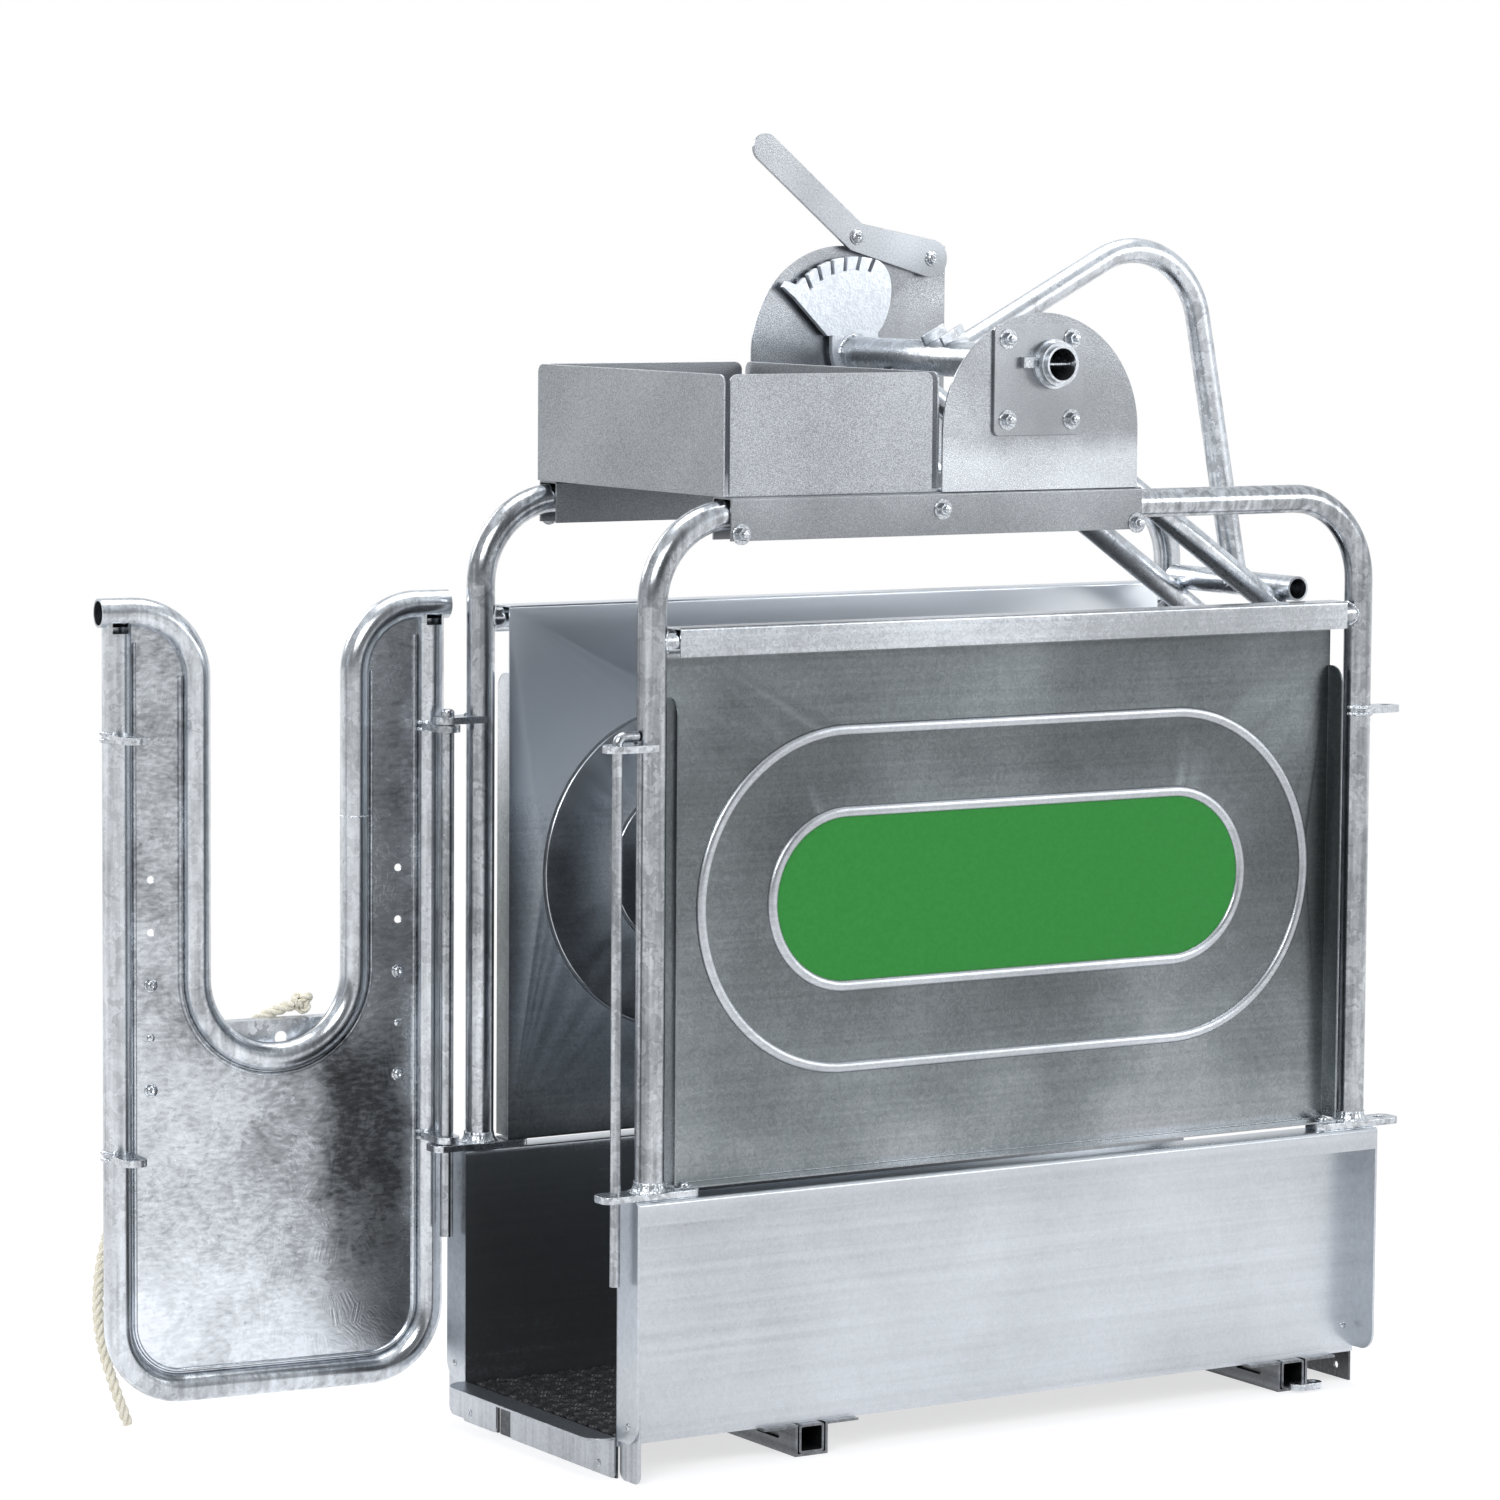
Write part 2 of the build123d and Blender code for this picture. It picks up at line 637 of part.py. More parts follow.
def platform():
    """Two inverted channels that sit on the frame tubes, and the tool tray between them."""
    sheet = PLATFORM_SHEET
    start = at_x(PLATFORM_START)
    outer = -PLATFORM_Y + sheet / 2
    inner = -POST_Y + TUBE_R + SEAT_GAP + sheet / 2
    with BuildPart() as channel:
        with BuildSketch(along_x(start)):
            with BuildLine():
                FilletPolyline(
                    (outer, PLATFORM_TOP - PLATFORM_DROP),
                    (outer, PLATFORM_TOP - sheet / 2),
                    (inner, PLATFORM_TOP - sheet / 2),
                    (inner, PLATFORM_TOP - PLATFORM_DROP),
                    radius=FOLD_R / 2,
                )
            trace(line_width=sheet)
        extrude(amount=PLATFORM_LENGTH)
    pieces["near_platform_channel"] = channel.part
    mirrored("far_platform_channel", "near_platform_channel")
    half = TRAY_WIDTH / 2
    x_start = at_x(TRAY_START)
    mid_x = x_start + TRAY_LENGTH / 2
    with BuildPart() as tray:
        with BuildSketch(Plane.XY.offset(PLATFORM_TOP)):
            with Locations((mid_x, 0)):
                Rectangle(TRAY_LENGTH, TRAY_WIDTH)
        extrude(amount=sheet)
        for x in (x_start, x_start + TRAY_LENGTH - sheet):
            with BuildSketch(along_x(x)) as end:
                with Locations((0, PLATFORM_TOP + TRAY_HEIGHT / 2)):
                    Rectangle(TRAY_WIDTH, TRAY_HEIGHT)
                fillet(end.vertices().group_by(Axis.Y)[-1], TRAY_CORNER_R)
            extrude(amount=sheet)
        for y in (-half, half - sheet):
            with BuildSketch(Plane.XZ.offset(-y - sheet)) as side:
                with Locations((mid_x, PLATFORM_TOP + TRAY_HEIGHT / 2)):
                    Rectangle(TRAY_LENGTH - 2 * TRAY_CORNER_GAP, TRAY_HEIGHT)
                fillet(side.vertices().group_by(Axis.Y)[-1], TRAY_CORNER_R)
            extrude(amount=sheet)
    pieces["tool_tray"] = tray.part


def arches():
    sheet = ARCH_SHEET
    near_y = -PLATFORM_Y
    radius = NEAR_ARCH_RADIUS
    centre_x = at_x(TRAY_START + TRAY_LENGTH) + SEAT_GAP + radius
    bore = TORSION_R + RUNNING_GAP
    with BuildPart() as near:
        with BuildSketch(along_y(near_y + sheet)):
            with Locations((centre_x, PLATFORM_TOP + NEAR_ARCH_SPRING)):
                Circle(radius)
            with Locations((centre_x, PLATFORM_TOP + NEAR_ARCH_SPRING / 2)):
                Rectangle(2 * radius, NEAR_ARCH_SPRING)
            with Locations((centre_x, PLATFORM_TOP - radius)):
                Rectangle(2 * radius, 2 * radius, mode=Mode.SUBTRACT)
            with Locations((TORSION_AT_X, TORSION_Z)):
                Circle(bore, mode=Mode.SUBTRACT)
        extrude(amount=sheet)
        with BuildSketch(Plane.XY.offset(PLATFORM_TOP)):
            with Locations((centre_x, near_y + ARCH_FOOT / 2)):
                Rectangle(2 * radius, ARCH_FOOT)
        extrude(amount=sheet)
    pieces["near_arch"] = near.part
    far_y = PLATFORM_Y - sheet
    start = centre_x - radius + FAR_ARCH_SET_BACK
    with BuildPart() as far:
        with BuildSketch(along_y(far_y + sheet)) as face:
            with Locations((start + FAR_ARCH_WIDTH / 2, PLATFORM_TOP + FAR_ARCH_HEIGHT / 2)):
                Rectangle(FAR_ARCH_WIDTH, FAR_ARCH_HEIGHT)
            fillet(face.vertices().group_by(Axis.Y)[-1].sort_by(Axis.X)[0], FAR_ARCH_CORNER_R)
            with Locations((TORSION_AT_X, TORSION_Z)):
                Circle(bore, mode=Mode.SUBTRACT)
        extrude(amount=sheet)
        with BuildSketch(Plane.XY.offset(PLATFORM_TOP)):
            with Locations((start + FAR_ARCH_WIDTH / 2, PLATFORM_Y - ARCH_FOOT / 2)):
                Rectangle(FAR_ARCH_WIDTH, ARCH_FOOT)
        extrude(amount=sheet)
        lever_far = FAR_SECTOR_Y + LEVER_THICKNESS / 2 + SEAT_GAP
        with BuildSketch(along_y(far_y)):
            with Locations((at_x(LEVER_PIVOT_X), LEVER_PIVOT_Z)):
                Circle(2 * PIVOT_R)
        extrude(amount=far_y - lever_far)
        with BuildSketch(along_y(far_y)):
            with Locations((at_x(LEVER_PIVOT_X), LEVER_PIVOT_Z)):
                Circle(PIVOT_R)
        extrude(amount=far_y - lever_far + LEVER_THICKNESS + 3 * SEAT_GAP)
    pieces["far_arch"] = far.part
    plate_x = TORSION_AT_X - BEARING_CENTRE_OFFSET
    plate_z = TORSION_Z - BEARING_CENTRE_DROP
    with BuildPart() as plate:
        with BuildSketch(along_y(near_y)):
            with Locations((plate_x, plate_z)):
                RectangleRounded(BEARING_WIDTH, BEARING_HEIGHT, BEARING_CORNER_R)
            with Locations((TORSION_AT_X, TORSION_Z)):
                Circle(bore, mode=Mode.SUBTRACT)
        extrude(amount=BEARING_PLATE)
    pieces["near_bearing_plate"] = plate.part
    mirrored("far_bearing_plate", "near_bearing_plate")


def clamp():
    collar_y = PLATFORM_Y + BEARING_PLATE + 2 * SEAT_GAP
    end_y = PLATFORM_Y + TORSION_STUB
    with BuildPart() as torsion:
        extrude(tube_section(clamp_axis(-end_y), TORSION_R, CLAMP_WALL), amount=-2 * end_y)
        for radius, length in ((COLLAR_R, COLLAR_LENGTH), (SLEEVE_R, SLEEVE_LENGTH)):
            for plane in (clamp_axis(-collar_y), clamp_axis(collar_y + length)):
                ring = tube_section(plane, radius, radius - TORSION_R + CLAMP_WALL / 2)
                extrude(ring, amount=length)
    pieces["torsion_tube"] = torsion.part

    slope = math.radians(ARM_SLOPE)
    down = (math.cos(slope), 0, -math.sin(slope))
    run = CROSS_BAR_X - TORSION_X
    fall = TORSION_Z - ARM_DROP - CROSS_BAR_Z
    arm_length = run * math.cos(slope) + fall * math.sin(slope) + ARM_PAST_BAR
    for name, y in (("near_arm", -ARM_Y), ("far_arm", ARM_Y)):
        start = (
            TORSION_AT_X - ARM_LEAD * down[0],
            y,
            TORSION_Z - ARM_DROP - ARM_LEAD * down[2],
        )
        with BuildPart() as arm:
            ring = tube_section(Plane(origin=start, z_dir=down), CLAMP_R, CLAMP_WALL)
            extrude(ring, amount=arm_length + ARM_LEAD)
            add(rod(clamp_axis(y + 2 * CLAMP_R), TORSION_R, 4 * CLAMP_R), mode=Mode.SUBTRACT)
            add(rod(cross_bar_plane(y + 2 * CLAMP_R), CLAMP_R, 4 * CLAMP_R), mode=Mode.SUBTRACT)
        pieces[name] = arm.part

    pieces["clamp_cross_tube"] = straight_tube(cross_bar_plane(0), CLAMP_R, CLAMP_WALL, CROSS_BAR_LENGTH)

    corner = (at_x(HOOP_CORNER_X), HOOP_CORNER_Z)
    hoop_points = [
        towards((TORSION_AT_X, TORSION_Z), corner, HOOP_END_OFFSET),
        corner,
        towards((at_x(CROSS_BAR_X), CROSS_BAR_Z), corner, HOOP_END_OFFSET),
    ]
    with BuildPart() as hoop:
        add(bent_tube(along_y(0), hoop_points, HOOP_BEND_R, CLAMP_R, CLAMP_WALL))
        add(rod(clamp_axis(2 * CLAMP_R), TORSION_R, 4 * CLAMP_R), mode=Mode.SUBTRACT)
        add(rod(cross_bar_plane(2 * CLAMP_R), CLAMP_R, 4 * CLAMP_R), mode=Mode.SUBTRACT)
    pieces["hoop_handle"] = hoop.part

    rise = math.atan2(HOOP_CORNER_Z - TORSION_Z, HOOP_CORNER_X - TORSION_X)
    up = (math.cos(rise), 0, math.sin(rise))
    inner = CLAMP_R + CHEEK_GAP
    for name, y in (("near_cheek", -inner), ("far_cheek", inner + CHEEK_THICKNESS)):
        plane = Plane(origin=(TORSION_AT_X, y, TORSION_Z), x_dir=up, z_dir=(0, -1, 0))
        with BuildPart() as cheek:
            with BuildSketch(plane):
                with Locations(((CHEEK_AHEAD - CHEEK_BEHIND) / 2, CHEEK_RISE / 2)):
                    Rectangle(CHEEK_AHEAD + CHEEK_BEHIND, CHEEK_RISE)
                Circle(TORSION_R, mode=Mode.SUBTRACT)
            extrude(amount=CHEEK_THICKNESS)
        pieces[name] = cheek.part


def cross_bar_plane(y):
    return Plane(origin=(at_x(CROSS_BAR_X), y, CROSS_BAR_Z), x_dir=(1, 0, 0), z_dir=(0, -1, 0))


def ratchet():
    """The notched sector welded to the torsion tube."""
    start = -SECTOR_START
    rim_start = polar(SECTOR_R, start + SECTOR_RIM_START)
    rim_end = polar(SECTOR_R, SECTOR_RIM_END)
    tip = polar(SECTOR_TIP_R, start)
    tip_end = polar(SECTOR_TIP_R, start + SECTOR_TIP_ANGLE)
    shoulder = polar(SECTOR_SHOULDER_R, SECTOR_SHOULDER_ANGLE)
    with BuildPart() as sector:
        with BuildSketch(clamp_axis(FAR_SECTOR_Y + SECTOR_THICKNESS / 2)):
            with BuildLine():
                Polyline(NECK_LEFT, polar(SECTOR_TIP_INNER_R, start), tip, tip_end, rim_start)
                ThreePointArc(rim_start, polar(SECTOR_R, -SECTOR_RIM_END), rim_end)
                Spline(rim_end, shoulder, SECTOR_BULGE, NECK_RIGHT)
                Line(NECK_RIGHT, NECK_LEFT)
            make_face()
            Circle(HUB_R)
            with Locations((0, NECK_BASE_HEIGHT / 2)):
                Rectangle(2 * NECK_RIGHT[0], NECK_BASE_HEIGHT)
            for n in range(NOTCH_COUNT):
                angle = FIRST_NOTCH + n * NOTCH_PITCH
                with Locations(Location((*polar(SECTOR_R, angle), 0), (0, 0, -angle - NOTCH_LEAN))):
                    Rectangle(NOTCH_WIDTH, 2 * NOTCH_DEPTH, mode=Mode.SUBTRACT)
            Circle(TORSION_R, mode=Mode.SUBTRACT)
        extrude(amount=SECTOR_THICKNESS)
    pieces["ratchet_sector"] = sector.part


def lever():
    """The release lever: a hub on the pivot, a bend over the sector and a long flat handle."""
    pivot = (at_x(LEVER_PIVOT_X), LEVER_PIVOT_Z)
    bend = (at_x(LEVER_BEND_X), LEVER_BEND_Z)
    tip = (at_x(LEVER_TIP_X), LEVER_TIP_Z)
    point = (at_x(LEVER_POINT_X), LEVER_POINT_Z)
    plane = along_y(FAR_SECTOR_Y + LEVER_THICKNESS / 2)
    with BuildPart() as handle:
        for end, end_r in ((tip, LEVER_HALF_WIDTH), (pivot, LEVER_HUB_R)):
            with BuildSketch(plane):
                with Locations(bend):
                    Circle(LEVER_HALF_WIDTH)
                with Locations(point):
                    Circle(LEVER_POINT_R)
                with Locations(end):
                    Circle(end_r)
                make_hull()
            extrude(amount=LEVER_THICKNESS)
        with BuildSketch(plane):
            with Locations(pivot):
                Circle(PIVOT_R + RUNNING_GAP)
        extrude(amount=LEVER_THICKNESS, mode=Mode.SUBTRACT)
    pieces["release_lever"] = handle.part


def neck_tool():
    """The neck tube as a full bar, for cutting the tubes that meet it."""
    with BuildPart() as bar:
        with BuildLine(door_plane(DOOR_OFFSET)) as route:
            Line((-2 * NECK_OVERHANG, NECK_TOP), (DOOR_WIDTH + 2 * NECK_OVERHANG, NECK_TOP))
        with BuildSketch(Plane(origin=route.line @ 0, z_dir=route.line % 0)):
            Circle(TUBE_R)
        sweep()
    return bar.part


def door():
    outer = [(0, NECK_TOP), (0, DOOR_BOTTOM), (DOOR_WIDTH, DOOR_BOTTOM), (DOOR_WIDTH, NECK_TOP)]
    with BuildPart() as frame:
        add(bent_tube(door_plane(DOOR_OFFSET), outer, DOOR_BEND_R, TUBE_R, TUBE_WALL))
        add(neck_tool(), mode=Mode.SUBTRACT)
        with BuildSketch(door_plane(DOOR_OFFSET)):
            low = NECK_TOP - TUBE_R - VENT_DROP
            with Locations((0, (low + NECK_TOP) / 2), (DOOR_WIDTH, (low + NECK_TOP) / 2)):
                Rectangle(VENT_WIDTH, NECK_TOP - low)
        extrude(amount=-2 * TUBE_R, mode=Mode.SUBTRACT)
    pieces["door_outer_tube"] = frame.part

    neck = [
        (DOOR_WIDTH + NECK_OVERHANG, NECK_TOP),
        (NECK_FAR_LEG, NECK_TOP),
        (NECK_FAR_LEG, NECK_BOTTOM),
        (NECK_NEAR_LEG, NECK_BOTTOM),
        (NECK_NEAR_LEG, NECK_TOP),
        (-NECK_OVERHANG, NECK_TOP),
    ]
    bends = [NECK_TOP_BEND_R, NECK_LOW_BEND_R, NECK_LOW_BEND_R, NECK_TOP_BEND_R]
    pieces["door_neck_tube"] = bent_tube(door_plane(DOOR_OFFSET), neck, bends, TUBE_R, TUBE_WALL)

    near_leg = NECK_NEAR_LEG - TUBE_R
    far_leg = NECK_FAR_LEG + TUBE_R
    low = NECK_BOTTOM - TUBE_R
    high = NECK_TOP - TUBE_R
    with BuildPart() as panel:
        with BuildSketch(door_plane(DOOR_OFFSET)) as face:
            bottom = DOOR_BOTTOM + TUBE_R
            with Locations((DOOR_WIDTH / 2, (bottom + NECK_TOP) / 2)):
                Rectangle(DOOR_WIDTH - 2 * TUBE_R, NECK_TOP - bottom)
            fillet(face.vertices().group_by(Axis.Y)[0], DOOR_BEND_R - TUBE_R)
            with BuildLine():
                cut = FilletPolyline(
                    (-NECK_OVERHANG, high),
                    (near_leg, high),
                    (near_leg, low),
                    (far_leg, low),
                    (far_leg, high),
                    (DOOR_WIDTH + NECK_OVERHANG, high),
                    radius=[
                        NECK_TOP_BEND_R - TUBE_R,
                        NECK_LOW_BEND_R + TUBE_R,
                        NECK_LOW_BEND_R + TUBE_R,
                        NECK_TOP_BEND_R - TUBE_R,
                    ],
                )
                Polyline(
                    cut @ 1,
                    (DOOR_WIDTH + NECK_OVERHANG, NECK_TOP + TUBE_R),
                    (-NECK_OVERHANG, NECK_TOP + TUBE_R),
                    cut @ 0,
                )
            make_face(mode=Mode.SUBTRACT)
            columns = (DOOR_HOLE_INSET, DOOR_WIDTH - DOOR_HOLE_INSET)
            for u in columns:
                for n in range(DOOR_HOLE_COUNT):
                    with Locations((u, DOOR_HOLE_TOP - n * DOOR_HOLE_PITCH)):
                        Circle(DOOR_HOLE_R, mode=Mode.SUBTRACT)
        extrude(amount=DOOR_SHEET / 2, both=True)
    pieces["door_panel"] = panel.part

    for height, z in (("upper", UPPER_DOOR_LUG), ("lower", LOWER_DOOR_LUG)):
        for name, u, rod_r in (("hinge", 0, HINGE_ROD_R), ("latch", DOOR_WIDTH, DROP_ROD_R)):
            with BuildPart() as lug:
                with BuildSketch(door_level(z)):
                    with Locations((u, -DOOR_OFFSET / 2)):
                        Rectangle(2 * DOOR_LUG_R, DOOR_OFFSET)
                    with Locations((u, 0)):
                        Circle(DOOR_LUG_R)
                        Circle(rod_r + RUNNING_GAP, mode=Mode.SUBTRACT)
                    with Locations((u, -DOOR_OFFSET)):
                        Circle(TUBE_R, mode=Mode.SUBTRACT)
                extrude(amount=PLATE)
            pieces[f"{height}_{name}_lug"] = lug.part


def door_bracket():
    """The folded bracket bolted across the back of the door, which the rope is tied to."""
    sheet = BRACKET_SHEET
    back = DOOR_OFFSET + DOOR_SHEET / 2 + SEAT_GAP
    start = TUBE_R + 3 * SEAT_GAP
    end = DOOR_WIDTH - start
    ear_top = BRACKET_EAR_TOP - BRACKET_BOTTOM
    with BuildPart() as bracket:
        with BuildSketch(door_level(BRACKET_BOTTOM)):
            with BuildLine():
                web = -back - BRACKET_DEPTH - sheet / 2
                FilletPolyline(
                    (start, -back - sheet / 2),
                    (start + BRACKET_EAR, -back - sheet / 2),
                    (start + BRACKET_EAR, web),
                    (end - BRACKET_EAR, web),
                    (end - BRACKET_EAR, -back - sheet / 2),
                    (end, -back - sheet / 2),
                    radius=FOLD_R / 2,
                )
            trace(line_width=sheet)
        extrude(amount=BRACKET_TOP - BRACKET_BOTTOM)
        for u in (start + BRACKET_EAR / 2, end - BRACKET_EAR / 2):
            with BuildSketch(door_level(BRACKET_BOTTOM)):
                with Locations((u, -back - sheet / 2)):
                    Rectangle(BRACKET_EAR - FOLD_R, sheet)
            extrude(amount=ear_top)
        for z in (BRACKET_BOTTOM, BRACKET_TOP - sheet):
            with BuildSketch(door_level(z)):
                with Locations((DOOR_WIDTH / 2, web - BRACKET_FOLD / 2)):
                    Rectangle(end - start - 2 * BRACKET_EAR, BRACKET_FOLD)
            extrude(amount=sheet)
        with BuildSketch(door_plane(back)):
            with Locations((BRACKET_HOLE_U, BRACKET_HOLE_Z)):
                Circle(ROPE_R + 1)
        extrude(amount=2 * BRACKET_DEPTH, mode=Mode.SUBTRACT)
    pieces["door_bracket"] = bracket.part


def rope():
    points = []
    for u, outward, z in ROPE_ROUTE:
        x = HINGE[0] + u * DOOR_ALONG[0] + outward * DOOR_OUTWARD[0]
        y = HINGE[1] + u * DOOR_ALONG[1] + outward * DOOR_OUTWARD[1]
        points.append(Vector(x, y, z))
    radii = []
    for before, here, after in zip(points, points[1:], points[2:]):
        first, second = here - before, after - here
        half_turn = math.radians(first.get_angle(second)) / 2
        radii.append(0.45 * min(first.length, second.length) / math.tan(half_turn))
    with BuildPart() as cord:
        with BuildLine() as route:
            FilletPolyline(*points, radius=radii)
        with BuildSketch(Plane(origin=route.line @ 0, z_dir=route.line % 0)):
            Circle(ROPE_R)
        sweep()
    pieces["tie_rope"] = cord.part
    start, direction = points[0], (points[1] - points[0]).normalized()
    with BuildPart() as knot:
        with Locations(start - direction * (KNOT_R * 0.72)):
            Sphere(KNOT_R)
        add(rod(Plane(origin=start, z_dir=direction), 3 * KNOT_R, 2 * KNOT_R), mode=Mode.SUBTRACT)
    pieces["rope_knot"] = knot.part


cross_members()
towing_eye()
box_walls()
corner_plates()
floor_and_mat()
sill()
tube_frames()
plates_and_lugs()
side_panels()
rods()
platform()
arches()
clamp()
ratchet()
lever()
door()
door_bracket()
rope()

for name, piece in pieces.items():
    piece.label = name
    export_step(piece, f"parts/{name}.step")
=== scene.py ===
"""Looks of a galvanised calf squeeze chute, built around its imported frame.

Everything is in metres in the frame of the part: X along the chute from the door end, Y to the
far side, Z up, with the floor at 0.
"""

import json
import math

import bmesh
import bpy
import numpy as np
from mathutils import Matrix, Vector

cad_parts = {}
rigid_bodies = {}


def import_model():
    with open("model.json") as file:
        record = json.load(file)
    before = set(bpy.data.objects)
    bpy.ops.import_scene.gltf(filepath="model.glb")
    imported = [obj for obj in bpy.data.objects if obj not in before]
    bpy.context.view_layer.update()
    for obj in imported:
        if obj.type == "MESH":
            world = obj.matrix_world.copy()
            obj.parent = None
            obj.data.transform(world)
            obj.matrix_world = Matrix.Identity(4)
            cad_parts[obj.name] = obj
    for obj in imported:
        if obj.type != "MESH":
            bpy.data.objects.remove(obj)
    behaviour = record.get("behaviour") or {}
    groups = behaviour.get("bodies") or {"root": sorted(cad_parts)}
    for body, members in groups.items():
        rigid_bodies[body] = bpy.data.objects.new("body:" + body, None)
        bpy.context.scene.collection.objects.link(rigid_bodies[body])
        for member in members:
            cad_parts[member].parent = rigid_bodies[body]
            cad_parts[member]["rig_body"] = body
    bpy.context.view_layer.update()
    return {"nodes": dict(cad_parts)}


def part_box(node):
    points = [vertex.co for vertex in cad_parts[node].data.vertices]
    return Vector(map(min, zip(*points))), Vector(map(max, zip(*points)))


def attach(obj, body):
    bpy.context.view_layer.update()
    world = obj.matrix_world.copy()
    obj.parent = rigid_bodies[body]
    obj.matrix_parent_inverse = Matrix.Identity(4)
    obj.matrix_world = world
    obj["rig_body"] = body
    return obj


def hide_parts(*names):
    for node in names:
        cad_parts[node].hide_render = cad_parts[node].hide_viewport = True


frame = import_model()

# Camera, worked out from the chute's own parallel lines, in metres, radians and pixels
PICTURE = 1500.0
CAMERA_PLACE = (-3.40535, -5.47437, 1.43705)
CAMERA_YAW = math.radians(32.205)
CAMERA_PITCH = math.radians(5.038)
CAMERA_ROLL = math.radians(0.432)
FOCAL_PIXELS = 5564.73
CENTRE_PIXEL = (762.445, 689.265)
SENSOR = 36.0

# Places on the frame
DOOR_END = -0.254
HEAD_END = DOOR_END + 1.046
BOX_TOP = 0.320
WALL_Y = 0.177
POST_Y = 0.1943
POST_R = 0.01685
DOOR_POST_X = DOOR_END + 0.029
HEAD_POST_X = HEAD_END - 0.024
ROD_X = DOOR_POST_X - 0.044
BASE_TOP = BOX_TOP + 0.008
LUG_LOW = 0.824
LUG_TOP = 0.832
RAIL_Z = 0.945
RAIL_R = 0.01345
CLAMP_R = 0.015
TORSION_R = 0.0212
COLLAR_R = 0.0285
TORSION = (DOOR_END + 0.550, 0.0, 1.250)
CROSS_BAR = (DOOR_END + 0.984, 0.0, 0.971)
HOOP_CORNER = (DOOR_END + 0.894, 0.0, 1.428)
ARM_SLOPE = math.radians(34.5)
ARM_Y = 0.100
ARCH_OUTER_Y = 0.2143
PLATE_OUTER_Y = ARCH_OUTER_Y + 0.004
LEVER_NEAR_Y = 0.1978
HINGE = np.array([ROD_X, POST_Y, 0.0])
DOOR_ANGLE = math.radians(174.3)
DOOR_ALONG = np.array([math.cos(DOOR_ANGLE), math.sin(DOOR_ANGLE), 0.0])
DOOR_OUTWARD = np.array([math.sin(DOOR_ANGLE), -math.cos(DOOR_ANGLE), 0.0])
DOOR_OFFSET = 0.054
DOOR_WIDTH = 0.3886
DOOR_BOTTOM = 0.055
DOOR_BEND_R = 0.078
DOOR_SHEET = 0.0025
NECK_BOTTOM = 0.436
NECK_NEAR_LEG = 0.095
NECK_FAR_LEG = 0.292
NECK_BEND_R = 0.097
PANEL_FACE_Y = 0.1773
RIB_CENTRE = (DOOR_END + 0.5315, 0.640)
RIB_WIDTH = 0.011
OUTER_RIB = (0.863, 0.400)
INNER_RIB = (0.673, 0.212)

# Rope route on the door: along the door, outward, height
ROPE_R = 0.007
ROPE_ROUTE = [
    (0.154, 0.099, 0.4886),
    (0.200, 0.113, 0.474),
    (0.246, 0.114, 0.428),
    (0.296, 0.111, 0.368),
    (0.346, 0.102, 0.308),
    (0.386, 0.094, 0.244),
    (0.404, 0.088, 0.168),
    (0.398, 0.084, 0.092),
    (0.367, 0.081, 0.010),
]


def on_door(along, outward, height):
    """The point of the row frame at this place on the open door."""
    return HINGE + along * DOOR_ALONG + outward * DOOR_OUTWARD + np.array([0.0, 0.0, height])


# Shader helpers


def add(tree, kind, sockets=None, **settings):
    """Adds a node, sets its properties and fills its sockets with values or links."""
    made = tree.nodes.new(kind)
    for name, value in settings.items():
        setattr(made, name, value)
    for name, value in (sockets or {}).items():
        socket = made.inputs[name]
        if isinstance(value, bpy.types.NodeSocket):
            tree.links.new(value, socket)
        else:
            socket.default_value = value
    return made


def new_group(name, inputs, outputs):
    """An empty shader group with named inputs, given as (name, kind, value), and outputs."""
    tree = bpy.data.node_groups.new(name, "ShaderNodeTree")
    for label, kind, value in inputs:
        socket = tree.interface.new_socket(label, in_out="INPUT", socket_type=kind)
        if value is not None:
            socket.default_value = value
    for label, kind in outputs:
        tree.interface.new_socket(label, in_out="OUTPUT", socket_type=kind)
    return tree, tree.nodes.new("NodeGroupInput").outputs, tree.nodes.new("NodeGroupOutput").inputs


def math_node(tree, operation, a, b):
    return add(tree, "ShaderNodeMath", {0: a, 1: b}, operation=operation).outputs[0]


def vector_node(tree, operation, a, b):
    return add(tree, "ShaderNodeVectorMath", {0: a, 1: b}, operation=operation).outputs[0]


def noise_node(tree, place, size, detail):
    return add(tree, "ShaderNodeTexNoise", {"Vector": place, "Scale": size, "Detail": detail}).outputs


def wavering(tree, place, size, amount, detail=4.0):
    """The place shifted by broad noise, so that a mask's edge wanders."""
    shift = vector_node(tree, "SUBTRACT", noise_node(tree, place, size, detail)["Color"], (0.5, 0.5, 0.5))
    shift = add(tree, "ShaderNodeVectorMath", {0: shift, "Scale": amount}, operation="SCALE").outputs[0]
    return vector_node(tree, "ADD", place, shift)


